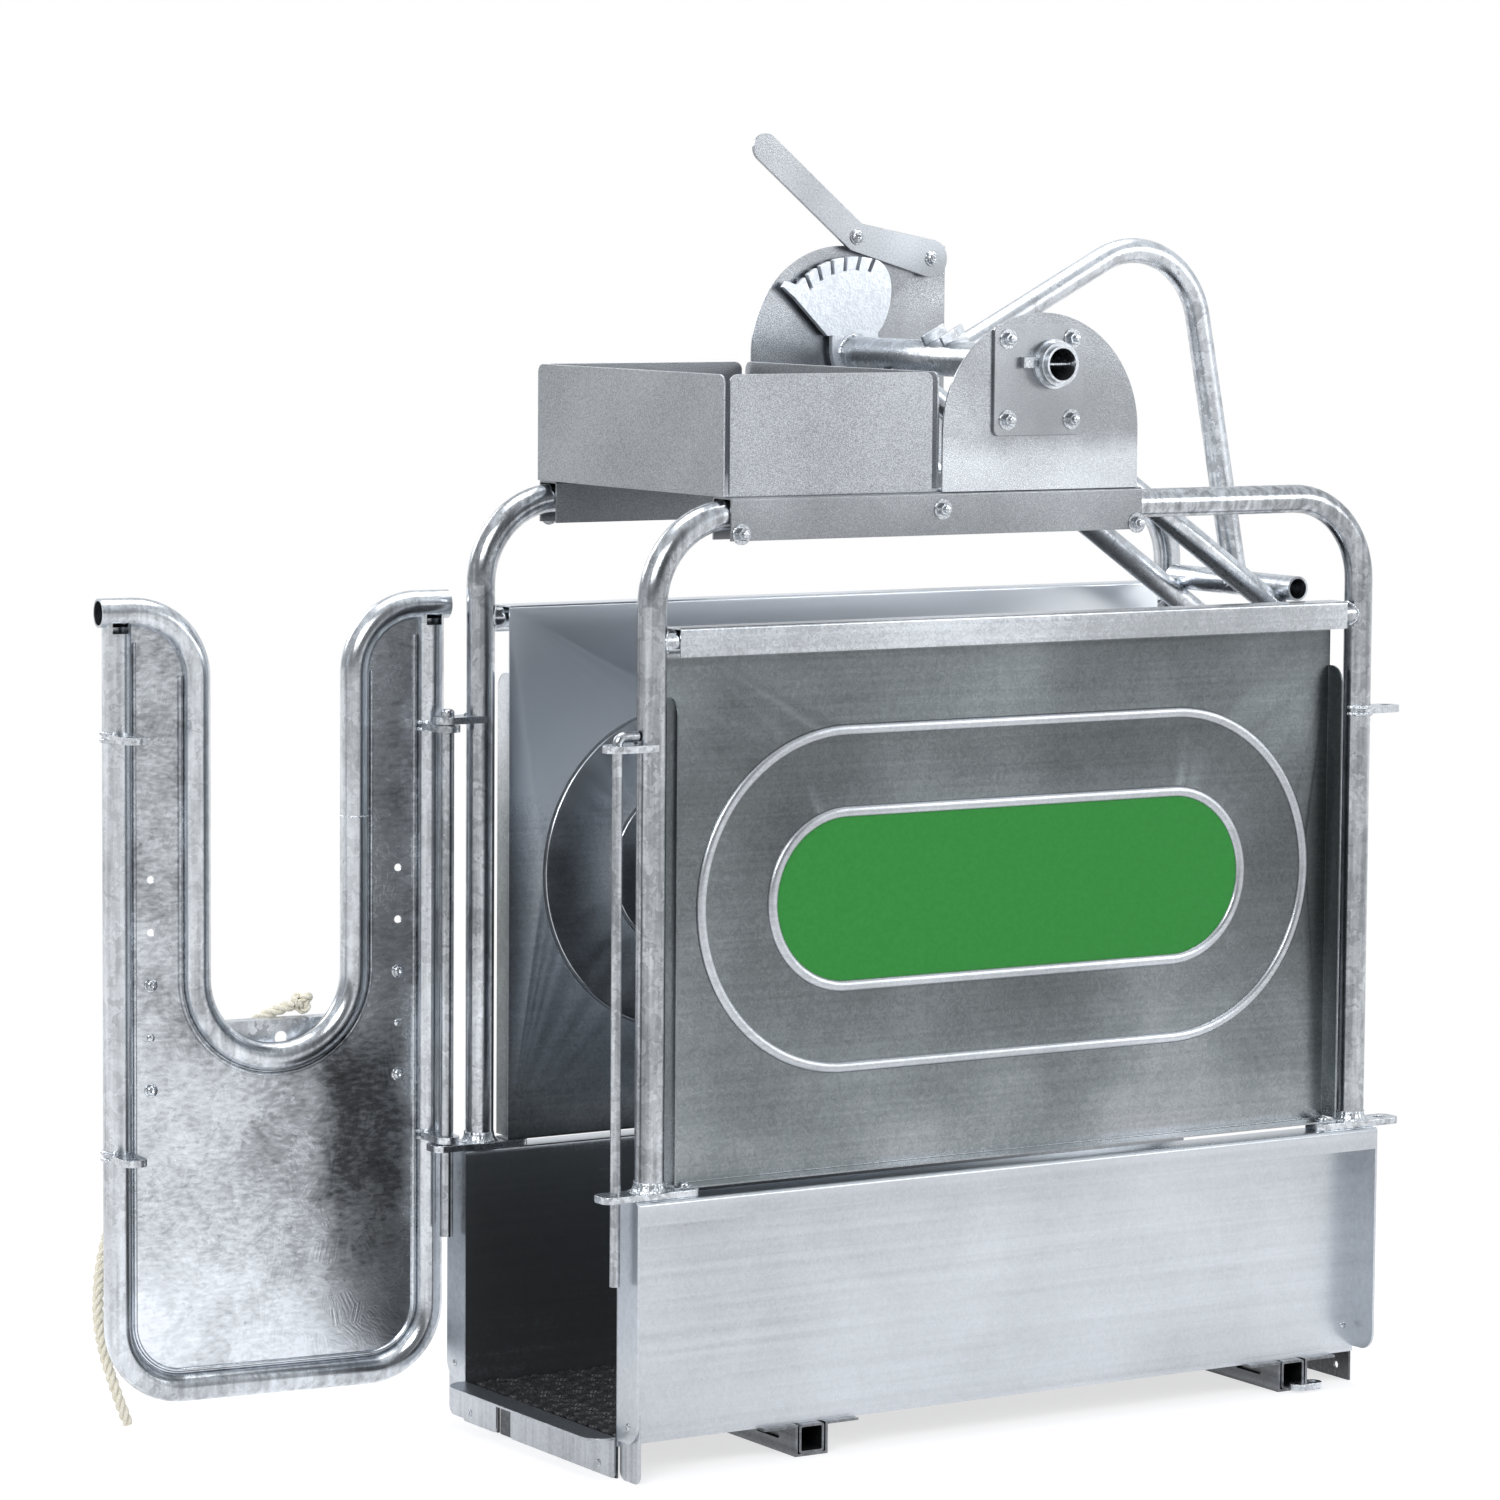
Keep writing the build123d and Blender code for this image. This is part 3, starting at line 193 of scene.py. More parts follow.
def crystal_group():
    """Zinc crystals: ragged cells, each with its own tone and its own feather direction.

    A cell's random value turns the pattern's axes about Y, and noise drawn out along one of the
    turned axes makes the feathers.
    """
    tree, given, out = new_group(
        "zinc_crystals",
        [
            ("Vector", "NodeSocketVector", None),
            ("Cells", "NodeSocketFloat", 30.0),
            ("Feather", "NodeSocketFloat", 0.5),
            ("Fine", "NodeSocketFloat", 420.0),
        ],
        [("Tone", "NodeSocketFloat"), ("Height", "NodeSocketFloat")],
    )
    ragged = wavering(tree, given["Vector"], 70.0, 0.05, 6.0)
    cells = add(tree, "ShaderNodeTexVoronoi", {"Vector": ragged, "Scale": given["Cells"]})
    lots = add(tree, "ShaderNodeSeparateColor", {"Color": cells.outputs["Color"]}).outputs
    angle = math_node(tree, "MULTIPLY", lots[0], 2 * math.pi)
    sockets = {"Vector": given["Vector"], "Axis": (0.0, 1.0, 0.0), "Angle": angle}
    turned_axes = add(tree, "ShaderNodeVectorRotate", sockets, rotation_type="AXIS_ANGLE").outputs[0]
    drawn = vector_node(tree, "MULTIPLY", turned_axes, (1.0, 1.0, 0.08))
    feather = noise_node(tree, drawn, given["Fine"], 3.0)[0]
    part = math_node(tree, "MULTIPLY", feather, given["Feather"])
    whole = math_node(tree, "MULTIPLY", lots[1], math_node(tree, "SUBTRACT", 1.0, given["Feather"]))
    tree.links.new(math_node(tree, "ADD", whole, part), out["Tone"])
    tree.links.new(feather, out["Height"])
    return tree


def streak_group():
    """Runs and clouds in a dipped zinc coat: noise drawn out along one axis over broad patches."""
    tree, given, out = new_group(
        "zinc_streaks",
        [
            ("Vector", "NodeSocketVector", None),
            ("Stretch", "NodeSocketVector", (1.0, 1.0, 0.12)),
            ("Fine", "NodeSocketFloat", 160.0),
            ("Broad", "NodeSocketFloat", 9.0),
        ],
        [("Streaks", "NodeSocketFloat"), ("Patches", "NodeSocketFloat")],
    )
    drawn = vector_node(tree, "MULTIPLY", given["Vector"], given["Stretch"])
    tree.links.new(noise_node(tree, drawn, given["Fine"], 5.0)[0], out["Streaks"])
    tree.links.new(noise_node(tree, given["Vector"], given["Broad"], 3.0)[0], out["Patches"])
    return tree


def grain_group():
    """Fine speckle of a coated sheet: noises at grain size and twice it, added and sharpened."""
    tree, given, out = new_group(
        "coat_grain",
        [("Vector", "NodeSocketVector", None), ("Grain", "NodeSocketFloat", 1100.0)],
        [("Speckle", "NodeSocketFloat")],
    )
    small = noise_node(tree, given["Vector"], given["Grain"], 2.0)[0]
    large = noise_node(tree, given["Vector"], math_node(tree, "MULTIPLY", given["Grain"], 0.5), 1.0)[0]
    both = math_node(tree, "ADD", small, large)
    sharp = add(tree, "ShaderNodeMapRange", {"Value": both, "From Min": 0.7, "From Max": 1.3})
    tree.links.new(sharp.outputs[0], out["Speckle"])
    return tree


# Red, green and blue of a grey on zinc and on the panels' dull sheet
ZINC_TINT = (0.952, 1.0, 1.062)
PANEL_TINT = (0.905, 1.0, 1.04)
CRYSTALS = crystal_group()
STREAKS = streak_group()
GRAIN = grain_group()


def new_material(name):
    """A material with its tree, its main shader and the piece's own coordinates."""
    material = bpy.data.materials.new(name)
    material.use_nodes = True
    tree = material.node_tree
    shader = tree.nodes["Principled BSDF"]
    place = add(tree, "ShaderNodeTexCoord").outputs["Object"]
    return material, tree, shader, place


def use(tree, group, **sockets):
    """The outputs of a shader group placed in a material with its own values."""
    return add(tree, "ShaderNodeGroup", sockets, node_tree=group).outputs


def ramp(tree, value, stops):
    """A colour ramp through (place, grey or colour) stops, the greys tinted as zinc is."""
    made = add(tree, "ShaderNodeValToRGB", {"Fac": value})
    line = made.color_ramp
    while len(line.elements) < len(stops):
        line.elements.new(0.5)
    for element, (place, colour) in zip(line.elements, stops):
        element.position = place
        rgb = colour if isinstance(colour, tuple) else tuple(colour * share for share in ZINC_TINT)
        element.color = (*rgb, 1.0)
    return made.outputs[0]


def slate(level):
    """A grey that leans to green, as the panels' dull sheet does."""
    return tuple(level * share for share in PANEL_TINT)


def span(tree, value, low, high, start=0.25, end=0.75):
    """Maps a mask from start..end onto low..high."""
    sockets = {"Value": value, "From Min": start, "From Max": end, "To Min": low, "To Max": high}
    return add(tree, "ShaderNodeMapRange", sockets).outputs[0]


def raise_surface(tree, shader, height, strength, distance):
    bump = add(tree, "ShaderNodeBump", {"Height": height, "Strength": strength, "Distance": distance})
    tree.links.new(bump.outputs[0], shader.inputs["Normal"])


def weighted(tree, *pairs):
    """The sum of masks, each times its weight; a mask may also be a plain number."""
    total = None
    for mask, weight in pairs:
        term = math_node(tree, "MULTIPLY", mask, weight)
        total = term if total is None else math_node(tree, "ADD", total, term)
    return total


def across(tree, place, axis, low, high):
    """A mask that rises smoothly from 0 at low to 1 at high along one axis of the piece."""
    parts = add(tree, "ShaderNodeSeparateXYZ", {"Vector": place}).outputs
    sockets = {"Value": parts[axis], "From Min": low, "From Max": high}
    return add(tree, "ShaderNodeMapRange", sockets, interpolation_type="SMOOTHSTEP").outputs[0]


def finish_metal(tree, shader, tone, tones, rough, height, bump):
    """Tone to greys, brighter spots smoother, and a slight relief, on a bare metal."""
    tree.links.new(ramp(tree, tone, tones), shader.inputs["Base Color"])
    tree.links.new(span(tree, tone, rough[1], rough[0]), shader.inputs["Roughness"])
    shader.inputs["Metallic"].default_value = 1.0
    raise_surface(tree, shader, height, bump, 0.0005)


def dipped_zinc(
    name, tones, rough, mix, cells=60.0, feather=0.5, stretch=(1.0, 1.0, 0.05), fine=110.0, bump=0.15,
):
    """Hot-dip coat: crystals, drawn-out runs and broad patches, mixed and then ramped to greys.

    tones are (mask, grey) stops, rough the roughness of bright and dull spots, and mix the weights.
    """
    material, tree, shader, place = new_material(name)
    crystal = use(tree, CRYSTALS, Vector=place, Cells=cells, Feather=feather)
    runs = use(tree, STREAKS, Vector=place, Stretch=stretch, Fine=fine)
    tone = weighted(tree, (crystal["Tone"], mix[0]), (runs["Streaks"], mix[1]), (runs["Patches"], mix[2]))
    finish_metal(tree, shader, tone, tones, rough, runs["Streaks"], bump)
    return material


def door_sheet(name):
    """The door's sheet under feathered crystals: bright and scratched low down, and a dull band by the hinge,
    both partly the zinc's own bright and dull areas and partly painted reflection; dull strips beside the
    neck."""
    material, tree, shader, place = new_material(name)
    loose = wavering(tree, place, 14.0, 0.05)
    # Dull band by the hinge: partly the zinc's dull finish, partly painted reflection
    band = across(tree, loose, 0, ROD_X - 0.150, ROD_X - 0.105)
    for axis, start, full in ((0, ROD_X - 0.014, ROD_X - 0.040), (2, 0.12, 0.21), (2, 0.50, 0.41)):
        band = math_node(tree, "MULTIPLY", band, across(tree, loose, axis, start, full))
    strips = across(tree, loose, 2, 0.40, 0.56)
    # Bright foot low down: partly the zinc's bright finish, partly painted reflection
    foot = across(tree, loose, 2, 0.30, 0.10)
    crystal = use(tree, CRYSTALS, Vector=place, Cells=38.0, Feather=0.66, Fine=380.0)
    scratch = use(tree, STREAKS, Vector=place, Stretch=(0.35, 1.0, 0.9), Fine=240.0, Broad=9.0)
    tone = weighted(
        tree, (crystal["Tone"], 0.24), (scratch["Streaks"], 0.38), (scratch["Patches"], 0.38), (band, -0.25),
        (strips, -0.07), (foot, 0.16), (1.0, 0.09),
    )
    tones = [(0.14, 0.035), (0.32, 0.13), (0.46, 0.36), (0.62, 0.66), (0.8, 0.88)]
    finish_metal(tree, shader, tone, tones, (0.2, 0.42), crystal["Height"], 0.3)
    return material


# A fade over less than this keeps a straight edge
CRISP_FADE = 0.05


def rolled_sheet(name, tones, rough, along, lines=0.5, fades=(), cells=240.0, bump=0.08):
    """Rolled sheet: hair-fine rolling lines, a faint small crystal and soft clouds; each fade is
    (axis, low, high, weight) and changes the tone from one place to another along an axis."""
    material, tree, shader, place = new_material(name)
    runs = use(tree, STREAKS, Vector=place, Stretch=along, Fine=1.0, Broad=3.5)
    crystal = use(tree, CRYSTALS, Vector=place, Cells=cells, Feather=0.4, Fine=900.0)
    terms = [(runs["Streaks"], lines), (crystal["Tone"], 0.16), (runs["Patches"], 0.84 - lines)]
    loose = wavering(tree, place, 7.0, 0.04)
    for axis, low, high, weight in fades:
        where = loose if abs(high - low) > CRISP_FADE else place
        terms.append((across(tree, where, axis, low, high), weight))
    tone = weighted(tree, *terms)
    finish_metal(tree, shader, tone, tones, rough, runs["Streaks"], bump)
    return material


def grained_sheet(name, tones, rough, grain=1100.0, share=0.5, fades=(), bump=0.1):
    """Coated sheet with a fine salt-and-pepper grain over soft clouds; each fade is (low, high, weight)
    and changes the tone with height."""
    material, tree, shader, place = new_material(name)
    speckle = use(tree, GRAIN, Vector=place, Grain=grain)["Speckle"]
    clouds = use(tree, STREAKS, Vector=place, Broad=6.0)["Patches"]
    terms = [(speckle, share), (clouds, 1.0 - share)]
    loose = wavering(tree, place, 9.0, 0.05)
    terms += [(across(tree, loose, 2, low, high), weight) for low, high, weight in fades]
    finish_metal(tree, shader, weighted(tree, *terms), tones, rough, speckle, bump)
    return material


def soft_coat(name, colours, rough, grain, depth, specular=0.5):
    """Non-metal finish, such as rubber, film or rope: a two-tone colour under a fine grain."""
    material, tree, shader, place = new_material(name)
    speckle = use(tree, GRAIN, Vector=place, Grain=grain)["Speckle"]
    tree.links.new(ramp(tree, speckle, [(0.0, colours[0]), (1.0, colours[1])]), shader.inputs["Base Color"])
    tree.links.new(span(tree, speckle, rough[0], rough[1], 0.0, 1.0), shader.inputs["Roughness"])
    shader.inputs["Specular IOR Level"].default_value = specular
    raise_surface(tree, shader, speckle, 0.3, depth)
    return material


# Stretches of rolling lines along X
ALONG_X = (2.5, 240.0, 240.0)
BOX_LINES = (2.0, 150.0, 150.0)
EVEN = (1.0, 1.0, 1.0)

TUBE_MIX = (0.2, 0.52, 0.28)
TUBE_ZINC = dipped_zinc(
    "tube_zinc", [(0.32, 0.2), (0.44, 0.34), (0.55, 0.54), (0.72, 0.85)], (0.14, 0.3), TUBE_MIX, 90.0
)
DOOR_TUBE_ZINC = dipped_zinc(
    "door_tube_zinc", [(0.32, 0.34), (0.44, 0.52), (0.55, 0.7), (0.72, 0.9)], (0.14, 0.3), TUBE_MIX, 90.0
)
FITTING_ZINC = dipped_zinc(
    "fitting_zinc", [(0.25, 0.25), (0.45, 0.55), (0.7, 0.88)], (0.15, 0.4), (0.4, 0.2, 0.4), 120.0, 0.3,
    EVEN, 200.0, 0.5,
)
CLAMP_ZINC = dipped_zinc(
    "clamp_zinc", [(0.3, 0.38), (0.5, 0.62), (0.7, 0.86)], (0.18, 0.4), (0.35, 0.25, 0.4), 90.0, 0.4,
    EVEN, 90.0,
)
DOOR_ZINC = door_sheet("door_sheet_zinc")

# Sheets whose tone changes with height, or from their outer to their inner face, much of it painted light and
# shade
PANEL_DARK = [(0.35, slate(0.11)), (0.5, slate(0.175)), (0.62, slate(0.26))]
# Near side panel: lighter towards the bottom, painted bounce light from the floor; lighter at the top lip;
# inner face lighter, painted light inside the box
NEAR_PANEL_PAINTED_LIGHT = rolled_sheet(
    "side_panel_painted_light", PANEL_DARK + [(0.85, 0.46), (1.0, 0.74)], (0.26, 0.4), ALONG_X, 0.14,
    (
        (2, 0.56, 0.36, 0.18), (2, 0.42, 0.34, 0.06), (2, 0.922, 0.928, 0.38),
        (1, -0.1768, -0.1758, 0.3),
    ),
    240.0, 0.06,
)
# Far side panel, seen from inside the box: brighter tones than the near panel and a lighter inner face are
# painted light, and the darker lower part is painted shade
FAR_PANEL_PAINTED_LIGHT = rolled_sheet(
    "far_panel_painted_light", PANEL_DARK + [(0.85, 0.55), (1.0, 0.8)], (0.28, 0.42), ALONG_X, 0.14,
    ((2, 0.58, 0.88, 0.42), (1, 0.1768, 0.1758, 0.30)),
)
BOX_TONES = [(0.05, 0.26), (0.27, 0.3), (0.36, 0.48), (0.5, 0.575), (0.65, 0.66), (1.0, 0.84)]
# Box walls: a lighter band along the top edge; the inner face darker, painted shade inside the box
NEAR_BOX_SHEET = rolled_sheet(
    "near_box_sheet", BOX_TONES, (0.26, 0.38), BOX_LINES, 0.26,
    ((2, 0.300, 0.316, 0.1), (1, -0.1765, -0.1745, -0.29)),
)
FAR_BOX_SHEET = rolled_sheet(
    "far_box_sheet", BOX_TONES, (0.26, 0.38), BOX_LINES, 0.26,
    ((2, 0.300, 0.316, 0.1), (1, 0.1765, 0.1745, -0.29)),
)
# Arches: the lower part lighter below a wavering edge, a painted reflection
ARCH_PAINTED_REFLECTION = grained_sheet(
    "arch_sheet_painted_reflection", [(0.2, 0.19), (0.5, 0.32), (0.8, 0.6), (1.0, 0.76)], (0.2, 0.34), 1300.0, 0.2,
    ((1.175, 1.14, 0.3), (1.30, 1.18, 0.05)),
)

# Even sheets
END_SHEET = rolled_sheet(
    "end_plate_sheet", [(0.35, 0.35), (0.5, 0.5), (0.65, 0.62)], (0.26, 0.4), (150.0, 150.0, 2.0), 0.35
)
# Floor pan: near black, painted shade under the sill and the mat
FLOOR_PAN_PAINTED_SHADE = rolled_sheet("floor_pan_painted_shade", [(0.3, 0.06), (0.5, 0.1), (0.7, 0.16)], (0.3, 0.45), ALONG_X)
CROSS_STEEL = rolled_sheet(
    "cross_member_steel", [(0.3, 0.1), (0.5, 0.18), (0.7, 0.3)], (0.3, 0.45), (160.0, 2.0, 160.0)
)
# Beads over the ribs: far lighter than the panel sheet, a painted highlight
PANEL_BEAD_PAINTED_HIGHLIGHT = rolled_sheet(
    "panel_bead_painted_highlight", [(0.35, 0.42), (0.5, 0.55), (0.7, 0.75)], (0.28, 0.4), ALONG_X, 0.3
)
TRAY_SHEET = grained_sheet("tray_sheet", [(0.2, 0.24), (0.5, 0.38), (0.8, 0.58)], (0.32, 0.48), 1500.0, 0.6)
PLATFORM_SHEET = grained_sheet(
    "platform_sheet", [(0.2, 0.18), (0.5, 0.27), (0.8, 0.42)], (0.3, 0.45), 1500.0, 0.4
)
LEVER_SHEET = grained_sheet("lever_sheet", [(0.2, 0.27), (0.5, 0.37), (0.8, 0.5)], (0.28, 0.42), 900.0, 0.35)
BEARING_SHEET = grained_sheet(
    "bearing_plate_sheet", [(0.2, 0.2), (0.5, 0.33), (0.8, 0.56)], (0.24, 0.36), 1300.0, 0.25
)
SECTOR_ZINC = grained_sheet(
    "sector_zinc", [(0.2, 0.76), (0.5, 0.85), (0.8, 0.93)], (0.4, 0.6), 320.0, 0.25, (), 0.4
)
BOLT_ZINC = grained_sheet("bolt_zinc", [(0.2, 0.3), (0.5, 0.55), (0.8, 0.85)], (0.14, 0.32), 500.0, 0.5)
WELD_ZINC = grained_sheet(
    "weld_zinc", [(0.2, 0.42), (0.5, 0.65), (0.8, 0.88)], (0.2, 0.4), 420.0, 0.5, (), 0.5
)

# Rubber, film and rope
RUBBER = soft_coat("mat_rubber", ((0.01, 0.01, 0.011), (0.036, 0.038, 0.039)), (0.2, 0.32), 500.0, 0.0002)
GREEN = soft_coat(
    "inset_green", ((0.016, 0.205, 0.028), (0.021, 0.225, 0.033)), (0.3, 0.36), 260.0, 0.00005, 0.3
)
ROPE = soft_coat("rope_fibre", ((0.66, 0.62, 0.50), (0.90, 0.87, 0.77)), (0.7, 0.9), 900.0, 0.0006, 0.2)

FINISHES = {
    TUBE_ZINC: [
        "near_frame_tube", "far_frame_tube", "near_rail", "far_rail", "hinge_rod", "drop_rod",
    ],
    DOOR_TUBE_ZINC: ["door_outer_tube", "door_neck_tube"],
    FITTING_ZINC: [
        "upper_hinge_lug", "upper_latch_lug", "lower_hinge_lug", "lower_latch_lug", "door_near_base_plate",
        "door_far_base_plate", "head_near_base_plate", "head_far_base_plate", "door_near_lug", "door_far_lug",
        "head_near_lug", "head_far_lug", "rear_eye",
    ],
    DOOR_ZINC: ["door_panel"],
    CLAMP_ZINC: [
        "torsion_tube", "near_arm", "far_arm", "clamp_cross_tube", "hoop_handle", "near_cheek", "far_cheek",
        "door_bracket",
    ],
    NEAR_PANEL_PAINTED_LIGHT: ["near_side_panel"],
    FAR_PANEL_PAINTED_LIGHT: ["far_side_panel"],
    NEAR_BOX_SHEET: ["near_box_wall"],
    FAR_BOX_SHEET: ["far_box_wall"],
    END_SHEET: ["sill_plate", "near_corner_plate", "far_corner_plate"],
    FLOOR_PAN_PAINTED_SHADE: ["floor_pan"],
    CROSS_STEEL: ["front_cross_channel", "rear_cross_channel", "front_cross_tube", "rear_cross_tube"],
    TRAY_SHEET: ["tool_tray"],
    PLATFORM_SHEET: ["near_platform_channel", "far_platform_channel"],
    ARCH_PAINTED_REFLECTION: ["near_arch", "far_arch"],
    BEARING_SHEET: ["near_bearing_plate", "far_bearing_plate"],
    LEVER_SHEET: ["release_lever"],
    SECTOR_ZINC: ["ratchet_sector"],
    RUBBER: ["rubber_mat"],
    GREEN: ["near_inset", "far_inset"],
    ROPE: ["tie_rope", "rope_knot"],
}


# Cut edges are rounded by these amounts
SHEET_EDGE = 0.0006
PLATE_EDGE = 0.0009
SECTOR_EDGE = 0.0014
# Faces that bend less than flat are one face, and edges that bend more than sharp are rounded
FLAT = math.radians(0.6)
SHARP = math.radians(35.0)
# These keep their own faces, because their ribs smear once the flats are merged
RIBBED = ("near_side_panel", "far_side_panel")
ROUNDED = {
    SHEET_EDGE: [
        "near_box_wall", "far_box_wall", "sill_plate", "near_corner_plate", "far_corner_plate",
        "near_side_panel", "far_side_panel", "tool_tray", "near_platform_channel", "far_platform_channel",
        "near_arch", "far_arch", "door_bracket", "near_bearing_plate", "far_bearing_plate",
    ],
    PLATE_EDGE: FINISHES[FITTING_ZINC] + ["release_lever", "near_cheek", "far_cheek"],
    SECTOR_EDGE: ["ratchet_sector"],
}


def dress_nodes():
    """Every node of the frame gets its finish."""
    for material, names in FINISHES.items():
        for name in names:
            mesh = frame["nodes"][name].data
            mesh.materials.clear()
            mesh.materials.append(material)


def round_edges():
    """Copies of the sheets and plates with their cut edges rounded, so that the edges catch light."""
    for width, names in ROUNDED.items():
        for name in names:
            node = frame["nodes"][name]
            mesh = node.data.copy()
            mesh.name = f"{name}_rounded"
            shell = bmesh.new()
            shell.from_mesh(mesh)
            bmesh.ops.remove_doubles(shell, verts=shell.verts, dist=1e-6)
            if name not in RIBBED:
                bmesh.ops.dissolve_limit(shell, angle_limit=FLAT, verts=shell.verts, edges=shell.edges)
            for face in shell.faces:
                bends = [edge.calc_face_angle(math.pi) for edge in face.edges]
                face.smooth = any(FLAT < bend < SHARP for bend in bends)
            shell.to_mesh(mesh)
            shell.free()
            mesh.set_sharp_from_angle(angle=SHARP)
            piece = bpy.data.objects.new(f"{name}_rounded", mesh)
            bpy.context.scene.collection.objects.link(piece)
            bevel = piece.modifiers.new("edges", "BEVEL")
            bevel.width = width
            bevel.segments = 2
            bevel.limit_method = "ANGLE"
            bevel.angle_limit = SHARP
            bevel.harden_normals = True
            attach(piece, node["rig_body"])
            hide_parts(name)


# Mesh helpers


def grid_faces(rows, columns, wrap_rows, wrap_columns):
    """Quads of a grid of points, joined round where an axis wraps."""
    i = np.arange(rows if wrap_rows else rows - 1)
    j = np.arange(columns if wrap_columns else columns - 1)
    i, j = (a.ravel() for a in np.meshgrid(i, j, indexing="ij"))
    i2, j2 = (i + 1) % rows, (j + 1) % columns
    return np.stack([i * columns + j, i2 * columns + j, i2 * columns + j2, i * columns + j2], axis=1)


def new_piece(name, points, faces, material, body, slot="galvanised_steel", smooth=True):
    """A mesh object at the origin from arrays of points and faces, riding on a body."""
    mesh = bpy.data.meshes.new(name)
    mesh.from_pydata(points.tolist(), [], [list(map(int, f)) for f in faces])
    mesh.materials.append(material)
    mesh.polygons.foreach_set("use_smooth", np.full(len(mesh.polygons), smooth))
    mesh.update()
    piece = bpy.data.objects.new(name, mesh)
    bpy.context.scene.collection.objects.link(piece)
    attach(piece, body)
    return piece


def joined(parts):
    """Points and faces of several meshes as one."""
    points, faces, count = [], [], 0
    for part_points, part_faces in parts:
        points.append(part_points)
        faces += [tuple(int(v) + count for v in face) for face in part_faces]
        count += len(part_points)
    return np.concatenate(points), faces


def basis(direction):
    """Two unit vectors square to a direction and to each other."""
    direction = np.asarray(direction, float) / np.linalg.norm(direction)
    helper = np.array([0.0, 0.0, 1.0]) if abs(direction[2]) < 0.9 else np.array([1.0, 0.0, 0.0])
    side = np.cross(helper, direction)
    side /= np.linalg.norm(side)
    return direction, side, np.cross(direction, side)


def turned(profile, centre, axis, sides=24, corners=0, turn=0.0):
    """A closed solid turned about an axis: point = centre + h*axis + r*f(a)*(cos a, sin a).

    profile is (r, h) pairs from pole to pole; f is 1 for a round, and for a hexagon the distance
    of its flat side over the radius at its flats.
    """
    axis, side, up = basis(axis)
    angle = np.linspace(0.0, 2 * np.pi, sides, endpoint=False) + turn
    shape = np.ones(sides)
    if corners:
        sector = 2 * np.pi / corners
        shape = 1.0 / np.cos((angle - turn + sector / 2) % sector - sector / 2)
    rings = []
    for radius, height in profile:
        ring = np.outer(np.cos(angle) * shape, side) + np.outer(np.sin(angle) * shape, up)
        rings.append(np.asarray(centre) + height * axis + radius * ring)
    points = np.concatenate(rings)
    faces = [tuple(f) for f in grid_faces(len(profile), sides, False, True)[:, ::-1]]
    faces.append(tuple(range(sides))[::-1])
    last = (len(profile) - 1) * sides
    faces.append(tuple(range(last, last + sides)))
    return points, [tuple(reversed(f)) for f in faces]


def bolt(centre, axis, flats=0.013, height=0.007, washer=0.012, stud=0.004):
    """Washer, hexagon nut and rounded bolt end, standing on a surface along its outward normal."""
    thick = 0.0015
    half = flats / 2
    plate = [(washer, 0.0), (washer, thick * 0.7), (washer - 0.0006, thick)]
    nut = [(half, thick), (half, thick + height * 0.85), (half * 0.9, thick + height)]
    end = half * 0.62
    top = thick + height + stud
    tip = [(end, thick + height), (end, top - 0.001), (end * 0.8, top), (end * 0.3, top + 0.0002)]
    return [
        turned(plate, centre, axis, 28),
        turned(nut, centre, axis, 24, 6, 0.3),
        turned(tip, centre, axis, 20),
    ]


def screw_head(centre, axis, radius=0.0065, height=0.004, washer=0.010):
    """Washer and low domed head with a shallow socket."""
    thick = 0.0012
    dome = [(radius, thick)]
    for share in np.linspace(0.1, 1.0, 6):
        dome.append((radius * math.cos(share * 1.1), thick + height * math.sin(share * 1.35)))
    socket = radius * 0.42
    dome.append((socket, dome[-1][1]))
    dome.append((socket * 0.9, dome[-1][1] - 0.0015))
    plate = [(washer, 0.0), (washer, 0.0009), (washer - 0.0005, thick)]
    return [turned(plate, centre, axis, 28), turned(dome, centre, axis, 24)]


def rivet(centre, axis, radius=0.0045, height=0.0018):
    """A low domed rivet head: radius falls and height rises round a quarter turn."""
    share = np.linspace(0.0, 1.0, 6)
    profile = [(radius * math.cos(s * 1.45), height * math.sin(s * 1.45)) for s in share]
    return [turned(profile, centre, axis, 20)]


# Fasteners on the frame: along X from the door end, and up
BEARING_BOLTS_X = (0.489, 0.5785)
BEARING_BOLTS_Z = (1.186, 1.279)
CHANNEL_BOLTS = ((0.1326, 1.0636), (0.4036, 1.0856), (0.6765, 1.0635))
BASE_SCREWS_X = (0.073, 0.979)
BASE_SCREWS_Z = 0.33017
LEVER_SCREWS = ((0.5514, 1.3915), (0.6613, 1.3655))
CORNER_RIVET_Z = 0.064
HEAD_RIVET = (1.031, 0.070)
SILL_RIVETS_Y = (-0.141, 0.157)
SILL_FACE_X = DOOR_END - 0.00315
# On the door: in from each side, and up
DOOR_SCREW_INSET = 0.0403
DOOR_SCREWS_Z = (0.5282, 0.4056)
DOOR_RIVET_Z = 0.4669
DOOR_FACE = DOOR_OFFSET - DOOR_SHEET / 2


